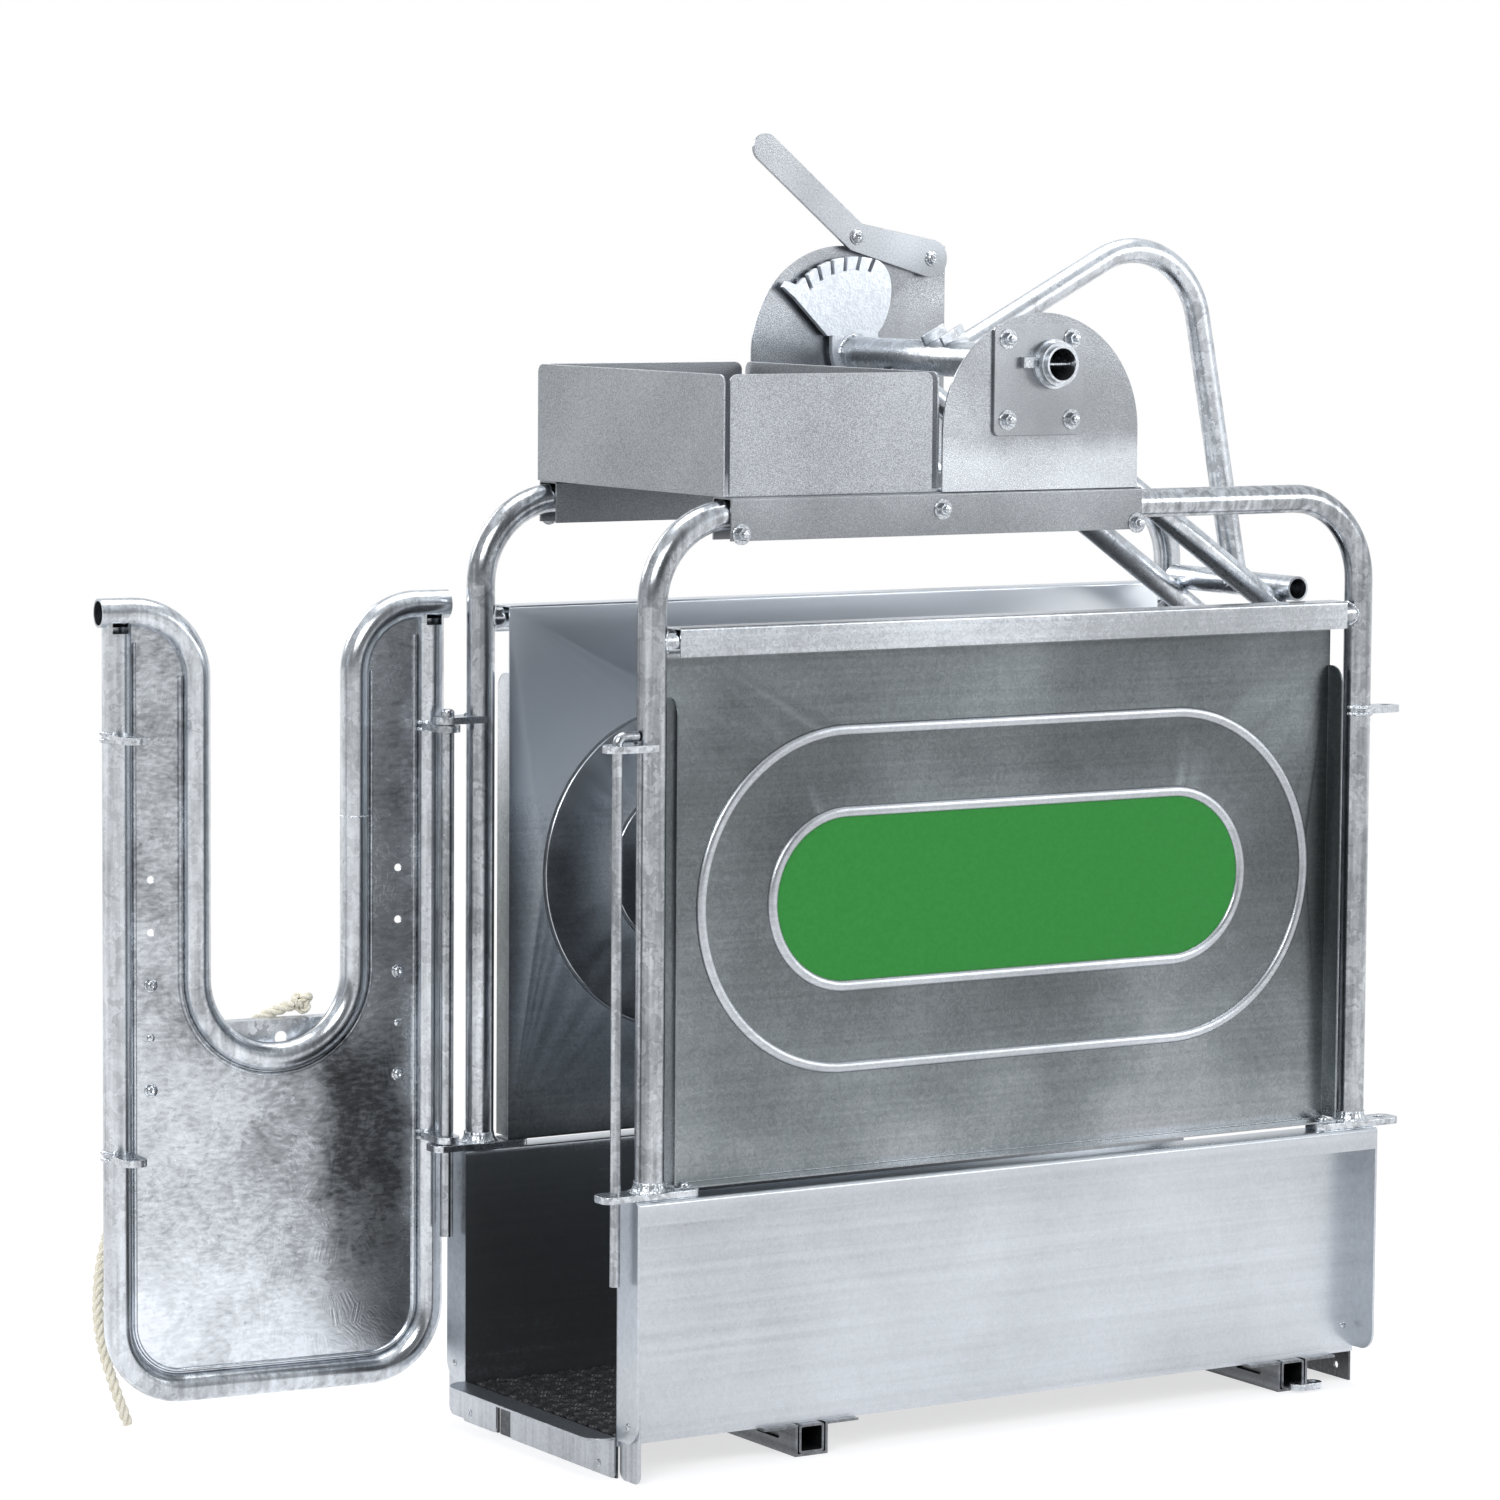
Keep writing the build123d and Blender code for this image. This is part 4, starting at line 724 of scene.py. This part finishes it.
def fasteners():
    """Bolts, screws and rivets, joined by kind and body."""
    frame_bolts, frame_screws, door_heads, lever_heads = [], [], [], []
    for side in (-1, 1):
        outward = (0, side, 0)
        for x in BEARING_BOLTS_X:
            for z in BEARING_BOLTS_Z:
                frame_bolts += bolt((DOOR_END + x, side * PLATE_OUTER_Y, z), outward)
        for x, z in CHANNEL_BOLTS:
            frame_bolts += bolt((DOOR_END + x, side * ARCH_OUTER_Y, z), outward)
        for x in BASE_SCREWS_X:
            frame_screws += screw_head((DOOR_END + x, side * 0.196, BASE_SCREWS_Z), (0, 0, 1))
        frame_screws += rivet((DOOR_END, side * 0.200, CORNER_RIVET_Z), (-1, 0, 0))
        frame_screws += rivet((DOOR_END + HEAD_RIVET[0], side * WALL_Y, HEAD_RIVET[1]), outward)
    for y in SILL_RIVETS_Y:
        frame_screws += rivet((SILL_FACE_X, y, 0.0122), (-1, 0, 0))
    for along in (DOOR_SCREW_INSET, DOOR_WIDTH - DOOR_SCREW_INSET):
        for z in DOOR_SCREWS_Z:
            door_heads += screw_head(on_door(along, DOOR_FACE, z), -DOOR_OUTWARD, 0.006, 0.0035, 0.008)
        door_heads += rivet(on_door(along, DOOR_FACE, DOOR_RIVET_Z), -DOOR_OUTWARD, 0.0048, 0.0018)
    for x, z in LEVER_SCREWS:
        lever_heads += screw_head((DOOR_END + x, LEVER_NEAR_Y, z), (0, -1, 0), 0.0072, 0.0045, 0.0095)
    new_piece("frame_bolts", *joined(frame_bolts), BOLT_ZINC, "frame", smooth=False)
    new_piece("frame_screws", *joined(frame_screws), BOLT_ZINC, "frame")
    new_piece("door_screws", *joined(door_heads), BOLT_ZINC, "door")
    new_piece("lever_screws", *joined(lever_heads), BOLT_ZINC, "lever")


def bead(path, radius, seed, closed=True, around=8):
    """A weld bead: a small round section along a path, its radius rippled like stacked drops."""
    path = np.asarray(path, float)
    count = len(path)
    ahead = np.roll(path, -1, axis=0) - np.roll(path, 1, axis=0)
    if not closed:
        ahead[0], ahead[-1] = path[1] - path[0], path[-1] - path[-2]
    ahead /= np.linalg.norm(ahead, axis=1)[:, None]
    helper = path - path.mean(axis=0)
    helper /= np.linalg.norm(helper, axis=1)[:, None] + 1e-9
    side = np.cross(ahead, helper)
    side /= np.linalg.norm(side, axis=1)[:, None] + 1e-9
    up = np.cross(side, ahead)
    steps = np.linalg.norm(np.diff(path, axis=0, prepend=path[:1]), axis=1).cumsum()
    noise = np.random.default_rng(seed).normal(0.0, 0.08, count)
    size = radius * (1.0 + 0.14 * np.sin(steps / 0.0016) + noise)
    angle = np.linspace(0.0, 2 * np.pi, around, endpoint=False)
    ring = np.cos(angle)[None, :, None] * side[:, None] + np.sin(angle)[None, :, None] * up[:, None]
    points = (path[:, None] + size[:, None, None] * ring).reshape(-1, 3)
    faces = [tuple(f) for f in grid_faces(count, around, closed, True)]
    if not closed:
        faces += [tuple(range(around))[::-1], tuple(range((count - 1) * around, count * around))]
    return points, faces


def circle_path(centre, axis, radius, count=72, start=0.0, sweep=2 * math.pi):
    """Points round a circle about an axis: centre + r*(cos a, sin a)."""
    _, side, up = basis(axis)
    angle = start + np.linspace(0.0, sweep, count, endpoint=sweep < 2 * math.pi - 1e-6)
    return np.asarray(centre) + radius * (np.outer(np.cos(angle), side) + np.outer(np.sin(angle), up))


def saddle_path(point, direction, radius, centre, axis, other, count=96):
    """Where one tube's surface meets another's: each line of the first tube is run on until its
    distance from the second tube's axis equals that tube's radius, the root of a quadratic.

    Returns the points that meet it, in order, and whether they close the ring.
    """
    direction, side, up = basis(direction)
    axis = np.asarray(axis, float) / np.linalg.norm(axis)
    angle = np.linspace(0.0, 2 * np.pi, count, endpoint=False)
    start = np.asarray(point) + radius * (np.outer(np.cos(angle), side) + np.outer(np.sin(angle), up))
    gap = start - np.asarray(centre)
    flat_gap = gap - np.outer(gap @ axis, axis)
    flat_way = direction - (direction @ axis) * axis
    a = flat_way @ flat_way
    b = 2 * flat_gap @ flat_way
    c = (flat_gap**2).sum(axis=1) - other**2
    spare = b**2 - 4 * a * c
    meets = spare > -1e-9
    way = (-b - np.sqrt(np.clip(spare, 0.0, None))) / (2 * a)
    points = start + way[:, None] * direction
    if meets.all():
        return points, True
    first = int(np.argmax(meets & ~np.roll(meets, 1)))
    return np.roll(points, -first, axis=0)[np.roll(meets, -first)], False


def foot_weld(centre, wide, narrow, height, seed):
    """A flared fillet of weld round a post's foot: the radius falls from wide to narrow as a quarter
    circle does, and wavers a little round the post."""
    angle = np.linspace(0.0, 2 * np.pi, 64, endpoint=False)
    share = np.linspace(0.0, 1.0, 7)
    radius = narrow + (wide - narrow) * (1.0 - np.sin(share * np.pi / 2))
    level = height * (1.0 - np.cos(share * np.pi / 2))
    noise = np.random.default_rng(seed).normal(0.0, 0.0005, (len(share), len(angle)))
    noise[0] *= 0.4
    around = radius[:, None] + noise + 0.0004 * np.sin(angle * 17)[None, :]
    ring = np.stack([np.cos(angle), np.sin(angle), np.zeros_like(angle)], axis=1)
    points = np.asarray(centre) + around[:, :, None] * ring[None]
    points[:, :, 2] += level[:, None]
    inner = np.asarray(centre) + (narrow - 0.0012) * ring
    points = np.concatenate([points, (inner + (0, 0, height))[None], inner[None]])
    rows = len(points)
    faces = [tuple(f) for f in grid_faces(rows, len(angle), True, True)[:, ::-1]]
    return points.reshape(-1, 3), [tuple(reversed(f)) for f in faces]


def add_saddle(beads, size, seed, *tubes):
    """Adds the bead where two tubes meet, an open one where they meet only in part."""
    path, ring = saddle_path(*tubes)
    beads.append(bead(path, size, seed, closed=ring))


# Weld beads' radii, and the fillet round a post's foot
POST_LUG_WELD = 0.0026
RAIL_WELD = 0.0018
CLAMP_WELD = 0.0026
COLLAR_WELD = 0.0032
DOOR_LUG_WELD = 0.0024
SEAM_WELD = 0.0011
POST_FOOT_WELD = 0.0245
POST_FOOT_HEIGHT = 0.012
# Places that carry a weld
DOOR_LUG_FACES = (0.329, 0.337, 0.814, 0.822)
NECK_SEAM_Z = 0.7145
COLLAR_Y = 0.2003


def frame_welds(seed):
    """Feet, lugs and rail ends of the four posts; returns the beads and the next seed."""
    beads = []
    for x in (DOOR_POST_X, HEAD_POST_X):
        outward = -1 if x == DOOR_POST_X else 1
        start = math.pi if outward < 0 else 0.0
        for side in (-1, 1):
            y = side * POST_Y
            foot = (x, y, BASE_TOP)
            beads.append(foot_weld(foot, POST_FOOT_WELD, POST_R + 0.0003, POST_FOOT_HEIGHT, seed))
            for z in (LUG_LOW, LUG_TOP):
                path = circle_path((x, y, z), (0, 0, 1), POST_R + 0.0004, 40, start - 1.25, 2.5)
                beads.append(bead(path, POST_LUG_WELD, seed + 1, closed=False))
            rail, post = (0.25, y, RAIL_Z), (x, y, 0)
            add_saddle(beads, RAIL_WELD, seed + 2, rail, (outward, 0, 0), RAIL_R, post, (0, 0, 1), POST_R)
            seed += 3
    return beads, seed


def clamp_welds(seed):
    """Arms, hoop ends and the collar on the torsion tube; returns the beads and the next seed."""
    beads = []
    slope = np.array([math.cos(ARM_SLOPE), 0.0, -math.sin(ARM_SLOPE)])
    for y in (-ARM_Y, ARM_Y):
        centre = (TORSION[0], y, TORSION[2])
        point = np.array([TORSION[0], y, TORSION[2] - 0.015]) + 0.3 * slope
        add_saddle(beads, CLAMP_WELD, seed, point, -slope, CLAMP_R, centre, (0, 1, 0), TORSION_R)
        seed += 1
    corner = np.array(HOOP_CORNER)
    for end, radius in ((TORSION, TORSION_R), (CROSS_BAR, CLAMP_R)):
        way = np.array(end) - corner
        middle = corner + way * 0.5
        add_saddle(beads, CLAMP_WELD, seed, middle, way, CLAMP_R, end, (0, 1, 0), radius * 0.999)
        seed += 1
    for side in (-1, 1):
        y = COLLAR_Y + side * 0.004
        path = circle_path((TORSION[0], y, TORSION[2]), (0, 1, 0), TORSION_R + 0.0008)
        beads.append(bead(path, COLLAR_WELD, seed))
        seed += 1
    return beads, seed


def door_welds(seed):
    """Lugs on both posts of the door, and the ground seam in the neck tube."""
    beads = []
    for along in (0.0, DOOR_WIDTH):
        for z in DOOR_LUG_FACES:
            centre = on_door(along, DOOR_OFFSET, z)
            path = circle_path(centre, (0, 0, 1), POST_R + 0.0004, 40, math.pi * 1.5 - 1.0, 2.0)
            beads.append(bead(path, DOOR_LUG_WELD, seed, closed=False))
            seed += 1
    seam = circle_path(on_door(NECK_NEAR_LEG, DOOR_OFFSET, NECK_SEAM_Z), (0, 0, 1), POST_R)
    beads.append(bead(seam, SEAM_WELD, seed))
    return beads


def welds():
    """The weld beads, one piece on each body."""
    on_frame, seed = frame_welds(1)
    on_clamp, seed = clamp_welds(seed)
    new_piece("frame_welds", *joined(on_frame), WELD_ZINC, "frame")
    new_piece("clamp_welds", *joined(on_clamp), WELD_ZINC, "clamp")
    new_piece("door_welds", *joined(door_welds(seed)), WELD_ZINC, "door")


def ridge(path, outward, half_width, height, closed):
    """A raised bead on a face: point = path + side*w*cos(t) + outward*h*sin(t), t from 0 to 180
    degrees, closed underneath by a base just inside the sheet."""
    outward = np.asarray(outward, float)
    ahead = np.roll(path, -1, axis=0) - np.roll(path, 1, axis=0)
    if not closed:
        ahead[0], ahead[-1] = path[1] - path[0], path[-1] - path[-2]
    ahead /= np.linalg.norm(ahead, axis=1)[:, None]
    side = np.cross(ahead, outward)
    t = np.linspace(0.0, np.pi, 11)
    flat = np.concatenate([half_width * np.cos(t), [-half_width, half_width]])
    rise = np.concatenate([height * np.sin(t), [-0.0005, -0.0005]])
    points = path[:, None] + flat[None, :, None] * side[:, None] + rise[None, :, None] * outward
    rows, columns = points.shape[:2]
    faces = [tuple(f) for f in grid_faces(rows, columns, closed, True)[:, ::-1]]
    if not closed:
        faces += [tuple(range(columns)), tuple(range((rows - 1) * columns, rows * columns))[::-1]]
    return points.reshape(-1, 3), faces


def stadium_line(length, height):
    """Points 4 mm apart round a slot shape: two straight runs and two half circles."""
    radius = height / 2
    half = length / 2 - radius
    turn = np.linspace(-np.pi / 2, np.pi / 2, 90)
    right = np.stack([half + radius * np.cos(turn), radius * np.sin(turn)], axis=1)
    line = np.concatenate([right, -right, right[:1]])
    return even_steps(line, 0.004)[0][:-1]


def rounded_line(corners, radius, step=0.004):
    """A flat line through the corners with an arc of the radius at each, as points a step apart.

    An arc's points are (sin((1-s)*w)*start + sin(s*w)*end) / sin(w), for its sweep w and s from 0 to 1.
    """
    corners = np.asarray(corners, float)
    runs = [corners[:1]]
    for before, at, after in zip(corners, corners[1:], corners[2:]):
        back = (before - at) / np.linalg.norm(before - at)
        on = (after - at) / np.linalg.norm(after - at)
        half = math.acos(back @ on) / 2
        centre = at + (back + on) / np.linalg.norm(back + on) * radius / math.sin(half)
        start, end = (at + way * radius / math.tan(half) - centre for way in (back, on))
        sweep = math.pi - 2 * half
        share = np.linspace(0.0, 1.0, 24)[:, None]
        arc = np.sin((1 - share) * sweep) * start + np.sin(share * sweep) * end
        runs.append(centre + arc / math.sin(sweep))
    runs.append(corners[-1:])
    return even_steps(np.concatenate(runs), step)[0]


def panel_beads():
    """Half-round beads over the panels' pressed ribs."""
    for name, side in (("near_beads", -1), ("far_beads", 1)):
        parts = []
        for length, height in (OUTER_RIB, INNER_RIB):
            line = stadium_line(length - RIB_WIDTH, height - RIB_WIDTH)
            path = np.zeros((len(line), 3))
            path[:, 0] = RIB_CENTRE[0] + line[:, 0]
            path[:, 1] = side * PANEL_FACE_Y
            path[:, 2] = RIB_CENTRE[1] + line[:, 1]
            parts.append(ridge(path, (0, side, 0), 0.0066, 0.0046, True))
        new_piece(name, *joined(parts), PANEL_BEAD_PAINTED_HIGHLIGHT, "frame", "zinc_sheet")


def door_rims():
    """Pressed rims on the door's sheet, just inside the outer tube and just outside the neck tube."""
    inset = POST_R + 0.0036
    left, right, low, top = inset, DOOR_WIDTH - inset, DOOR_BOTTOM + inset, 0.925
    outer = [(left, top), (left, low), (right, low), (right, top)]
    left, right, low, top = NECK_NEAR_LEG - inset, NECK_FAR_LEG + inset, NECK_BOTTOM - inset, 0.885
    neck = [(left, top), (left, low), (right, low), (right, top)]
    parts = []
    for corners, radius in ((outer, DOOR_BEND_R - inset), (neck, NECK_BEND_R + inset)):
        line = rounded_line(corners, radius)
        path = HINGE + line[:, :1] * DOOR_ALONG + DOOR_FACE * DOOR_OUTWARD
        path[:, 2] = line[:, 1]
        parts.append(ridge(path, -DOOR_OUTWARD, 0.0026, 0.0036, False))
    new_piece("door_rims", *joined(parts), DOOR_ZINC, "door", "galvanised_steel")


def mat_tread():
    """The mat's top as a height field: raised zigzag ridges, every other row turned over.

    A ridge stands where the distance to the nearest zigzag line y = A*tri(x/L) + k*P is small, and
    is cut through twice in each wave.
    """
    low, high = (np.array(corner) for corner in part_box("rubber_mat"))
    step = 0.0028
    depth = 0.0022
    pitch, wave, swing = 0.026, 0.048, 0.010
    x = np.arange(low[0], high[0], step)
    y = np.arange(low[1], high[1], step)
    gx, gy = np.meshgrid(x, y, indexing="ij")
    zigzag = swing * (4 * np.abs((gx / wave) % 1.0 - 0.5) - 1.0)
    row = (gy + zigzag) / pitch
    near = np.abs(row % 1.0 - 0.5) * pitch
    raised = np.clip((0.0066 - near) / 0.0028, 0.0, 1.0)
    along = np.abs((gx / wave * 2 + np.floor(row)) % 1.0 - 0.5) * wave / 2
    cut = np.clip((along - 0.0016) / 0.0012, 0.0, 1.0)
    top = high[2] - depth * (1.0 - raised * cut)
    points = np.stack([gx, gy, top], axis=-1).reshape(-1, 3)
    faces = grid_faces(len(x), len(y), False, False)
    piece = new_piece("mat_tread", points, faces, RUBBER, "frame", "black_rubber", smooth=False)
    wall = piece.modifiers.new("thickness", "SOLIDIFY")
    wall.thickness = 0.003
    wall.offset = -1.0
    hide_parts("rubber_mat")


def route_line():
    """The rope's smooth centre line: a NURBS curve whose control points are the route."""
    curve = bpy.data.curves.new("rope_line", "CURVE")
    curve.dimensions = "3D"
    line = curve.splines.new("NURBS")
    line.points.add(len(ROPE_ROUTE) - 1)
    for point, place in zip(line.points, ROPE_ROUTE):
        point.co = (*on_door(*place), 1.0)
    line.order_u = 3
    line.use_endpoint_u = True
    line.resolution_u = 24
    curve.resolution_u = 24
    guide = bpy.data.objects.new("rope_line", curve)
    mesh = bpy.data.meshes.new_from_object(guide)
    points = np.empty(len(mesh.vertices) * 3)
    mesh.vertices.foreach_get("co", points)
    bpy.data.meshes.remove(mesh)
    bpy.data.objects.remove(guide)
    bpy.data.curves.remove(curve)
    return points.reshape(-1, 3)


def even_steps(path, step):
    """The same line with points at equal distances along it."""
    length = np.concatenate([[0.0], np.linalg.norm(np.diff(path, axis=0), axis=1).cumsum()])
    places = np.linspace(0.0, length[-1], max(2, int(length[-1] / step)))
    return np.stack([np.interp(places, length, path[:, k]) for k in range(path.shape[1])], axis=1), places


def carried_frames(path):
    """Side and up vectors carried along a path without spinning about it."""
    ahead = np.gradient(path, axis=0)
    ahead /= np.linalg.norm(ahead, axis=1)[:, None]
    _, side, _ = basis(ahead[0])
    sides = []
    for direction in ahead:
        side = side - direction * (side @ direction)
        side /= np.linalg.norm(side)
        sides.append(side)
    sides = np.array(sides)
    return ahead, sides, np.cross(ahead, sides)


def twisted_rope(path, radius, lay=0.036, strands=3, around=9, taper=0.0):
    """Laid rope: each strand's centre runs round the path at half the radius, one turn per lay."""
    path, places = even_steps(path, 0.0022)
    ahead, side, up = carried_frames(path)
    strand_r = radius * 0.52
    off = radius - strand_r
    size = np.ones(len(path))
    if taper:
        size = np.clip((places[-1] - places) / taper, 0.0, 1.0) ** 0.5 * 0.2 + 0.8
    angle = np.linspace(0.0, 2 * np.pi, around, endpoint=False)
    parts = []
    for k in range(strands):
        turn = 2 * np.pi * (places / lay + k / strands)
        out = np.cos(turn)[:, None] * side + np.sin(turn)[:, None] * up
        over = np.cross(ahead, out)
        centre = path + out * (off * size)[:, None]
        ring = np.cos(angle)[None, :, None] * out[:, None] + np.sin(angle)[None, :, None] * over[:, None]
        points = (centre[:, None] + strand_r * size[:, None, None] * ring).reshape(-1, 3)
        faces = [tuple(f) for f in grid_faces(len(path), around, False, True)]
        faces += [tuple(range(around))[::-1], tuple(range((len(path) - 1) * around, len(path) * around))]
        parts.append((points, faces))
    return joined(parts), path


def rope():
    (points, faces), path = twisted_rope(route_line(), ROPE_R, taper=0.012)
    piece = new_piece("tie_rope_strands", points, faces, ROPE, "door", "cream_rope")
    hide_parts("tie_rope")
    knot = rope_knot()


def rope_knot():
    """An overhand knot: a trefoil line (sin t + 2 sin 2t, cos t - 2 cos 2t, -sin 3t), laid as rope."""
    low, high = (np.array(corner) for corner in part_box("rope_knot"))
    centre, half = (low + high) / 2, (high - low) / 2
    t = np.linspace(0.0, 2 * np.pi, 240)
    line = np.stack([np.sin(t) + 2 * np.sin(2 * t), np.cos(t) - 2 * np.cos(2 * t), -np.sin(3 * t)], axis=1)
    thick = 0.0048
    reach = (half - thick).min() / 3.0
    turned_line = line[:, 0:1] * DOOR_ALONG + line[:, 2:3] * DOOR_OUTWARD * 1.6
    turned_line[:, 2] += line[:, 1]
    (points, faces), _ = twisted_rope(centre + turned_line * reach, thick, lay=0.024)
    piece = new_piece("rope_knot_loop", points, faces, ROPE, "door", "cream_rope")
    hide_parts("rope_knot")
    return piece


def torsion_details():
    """The key beside the near collar and the flat bar across the tube's mouth."""
    mouth = -(ARCH_OUTER_Y + 0.026)
    key = (TORSION[0] - COLLAR_R - 0.007, -PLATE_OUTER_Y - 0.004, TORSION[2] + 0.002)
    bar = (TORSION[0], mouth + 0.014, TORSION[2])
    boxes = ((key, (0.009, 0.004, 0.0065)), (bar, (0.0184, 0.004, 0.0014)))
    parts = []
    for centre, half in boxes:
        corner = np.array([[x, y, z] for x in (-1, 1) for y in (-1, 1) for z in (-1, 1)], float)
        faces = [(0, 1, 3, 2), (4, 6, 7, 5), (0, 4, 5, 1), (2, 3, 7, 6), (0, 2, 6, 4), (1, 5, 7, 3)]
        parts.append((np.array(centre) + corner * np.array(half), faces))
    piece = new_piece("torsion_key", *joined(parts), BOLT_ZINC, "clamp", smooth=False)
    bevel = piece.modifiers.new("edges", "BEVEL")
    bevel.width = 0.0008
    bevel.segments = 2


# Darker parts of the room: direction, where it starts and is full as a cosine, and its level
DARK_SIDES = (((-0.53, -0.84, 0.10), 0.50, 0.86, 0.18), ((-0.80, 0.60, 0.0), 0.62, 0.94, 0.62))
ROOM_GLOSS = 0.92
FLOOR_REACH = 40.0
# The soft shadow's middle on the floor, and where it starts and ends to fade into white
SHADOW_MIDDLE = (0.27, 0.0, 0.0)
SHADOW_FADE = (0.9, 1.9)


def gloss_room(tree):
    """How bright the room is in each direction: dark behind the camera, dimmer to its left."""
    way = add(tree, "ShaderNodeTexCoord").outputs["Generated"]
    level = None
    for direction, start, end, low in DARK_SIDES:
        facing = add(tree, "ShaderNodeVectorMath", {0: way, 1: direction}, operation="DOT_PRODUCT").outputs
        sockets = {"Value": facing["Value"], "From Min": start, "From Max": end, "To Min": 1.0, "To Max": low}
        part = add(tree, "ShaderNodeMapRange", sockets, interpolation_type="SMOOTHSTEP").outputs[0]
        level = part if level is None else math_node(tree, "MULTIPLY", level, part)
    return math_node(tree, "MULTIPLY", level, ROOM_GLOSS)


def white_floor():
    """A pale floor that is white to the eye and keeps a soft shadow near the object."""
    floor_mesh = bpy.data.meshes.new("floor")
    corners = [(x * FLOOR_REACH, y * FLOOR_REACH, 0) for x, y in ((-1, -1), (1, -1), (1, 1), (-1, 1))]
    floor_mesh.from_pydata(corners, [], [(0, 1, 2, 3)])
    floor = bpy.data.objects.new("floor", floor_mesh)
    bpy.context.scene.collection.objects.link(floor)
    material = bpy.data.materials.new("pale_floor")
    material.use_nodes = True
    tree = material.node_tree
    tree.nodes.clear()
    path = add(tree, "ShaderNodeLightPath").outputs
    seen = math_node(tree, "MAXIMUM", path["Is Camera Ray"], path["Is Glossy Ray"])
    seen = math_node(tree, "MAXIMUM", seen, path["Is Transmission Ray"])
    place = add(tree, "ShaderNodeTexCoord").outputs["Object"]
    away = add(tree, "ShaderNodeVectorMath", {0: place, 1: SHADOW_MIDDLE}, operation="DISTANCE").outputs
    sockets = {"Value": away["Value"], "From Min": SHADOW_FADE[0], "From Max": SHADOW_FADE[1]}
    far = add(tree, "ShaderNodeMapRange", sockets, interpolation_type="SMOOTHSTEP").outputs[0]
    plain = add(tree, "ShaderNodeBsdfDiffuse", {"Color": (0.9, 0.9, 0.9, 1)}).outputs[0]
    shaded = add(tree, "ShaderNodeBsdfDiffuse", {"Color": (0.42, 0.42, 0.43, 1)}).outputs[0]
    glow = add(tree, "ShaderNodeEmission", {"Color": (1, 1, 1, 1), "Strength": 0.68}).outputs[0]
    white = add(tree, "ShaderNodeEmission", {"Color": (1, 1, 1, 1), "Strength": 1.0}).outputs[0]
    near = add(tree, "ShaderNodeAddShader", {0: shaded, 1: glow}).outputs[0]
    shown = add(tree, "ShaderNodeMixShader", {0: far, 1: near, 2: white}).outputs[0]
    both = add(tree, "ShaderNodeMixShader", {0: seen, 1: plain, 2: shown}).outputs[0]
    out = add(tree, "ShaderNodeOutputMaterial")
    tree.links.new(both, out.inputs["Surface"])
    floor_mesh.materials.append(material)


def studio():
    """White surroundings, a pale floor and soft lamps, each by name, place, width and power."""
    world = bpy.data.worlds.new("studio")
    bpy.context.scene.world = world
    world.use_nodes = True
    tree = world.node_tree
    tree.nodes.clear()
    path = add(tree, "ShaderNodeLightPath").outputs
    seen = math_node(tree, "MAXIMUM", path["Is Camera Ray"], path["Is Transmission Ray"])
    white = add(tree, "ShaderNodeBackground", {"Color": (1, 1, 1, 1), "Strength": 1.0}).outputs[0]
    gloss = gloss_room(tree)
    shine = add(tree, "ShaderNodeBackground", {"Color": (0.95, 0.975, 1, 1), "Strength": gloss}).outputs[0]
    light = add(tree, "ShaderNodeBackground", {"Color": (0.95, 0.97, 1, 1), "Strength": 0.55}).outputs[0]
    inner = add(tree, "ShaderNodeMixShader", {0: path["Is Glossy Ray"], 1: light, 2: shine}).outputs[0]
    outer = add(tree, "ShaderNodeMixShader", {0: seen, 1: inner, 2: white}).outputs[0]
    out = add(tree, "ShaderNodeOutputWorld")
    tree.links.new(outer, out.inputs["Surface"])
    white_floor()

    lamps = (
        ("key", (-4.2, -3.6, 4.2), 3.4, 190.0),
        ("fill", (4.2, -4.4, 2.6), 3.0, 70.0),
        ("top", (0.4, 0.6, 4.6), 3.6, 120.0),
        ("back", (-1.5, 4.6, 3.0), 3.0, 70.0),
    )
    target = Vector((0.25, 0.0, 0.6))
    for name, place, size, power in lamps:
        data = bpy.data.lights.new(name, "AREA")
        data.shape = "RECTANGLE"
        data.size = size
        data.size_y = size * 0.7
        data.energy = power
        lamp = bpy.data.objects.new(name, data)
        lamp.location = place
        lamp.rotation_mode = "QUATERNION"
        lamp.rotation_quaternion = (target - Vector(place)).to_track_quat("-Z", "Y")
        bpy.context.scene.collection.objects.link(lamp)


def camera():
    """The photograph's camera: looks along yaw and pitch, rolled, and the shift puts the solved centre
    pixel on the axis."""
    forward = Vector((
        math.sin(CAMERA_YAW) * math.cos(CAMERA_PITCH),
        math.cos(CAMERA_YAW) * math.cos(CAMERA_PITCH),
        -math.sin(CAMERA_PITCH),
    ))
    level = Vector((math.cos(CAMERA_YAW), -math.sin(CAMERA_YAW), 0.0))
    upright = level.cross(forward)
    right = math.cos(CAMERA_ROLL) * level + math.sin(CAMERA_ROLL) * upright
    up = -math.sin(CAMERA_ROLL) * level + math.cos(CAMERA_ROLL) * upright
    data = bpy.data.cameras.new("camera")
    data.sensor_width = SENSOR
    data.lens = FOCAL_PIXELS / PICTURE * SENSOR
    data.shift_x = (PICTURE / 2 - CENTRE_PIXEL[0]) / PICTURE
    data.shift_y = (CENTRE_PIXEL[1] - PICTURE / 2) / PICTURE
    data.clip_end = 60.0
    view = bpy.data.objects.new("camera", data)
    rows = Matrix((right, up, -forward)).transposed().to_4x4()
    view.matrix_world = Matrix.Translation(CAMERA_PLACE) @ rows
    bpy.context.scene.collection.objects.link(view)
    bpy.context.scene.camera = view


camera()
studio()
dress_nodes()
rope()
fasteners()
welds()
mat_tread()
torsion_details()
panel_beads()
door_rims()
round_edges()

bpy.context.scene.view_settings.view_transform = "Standard"
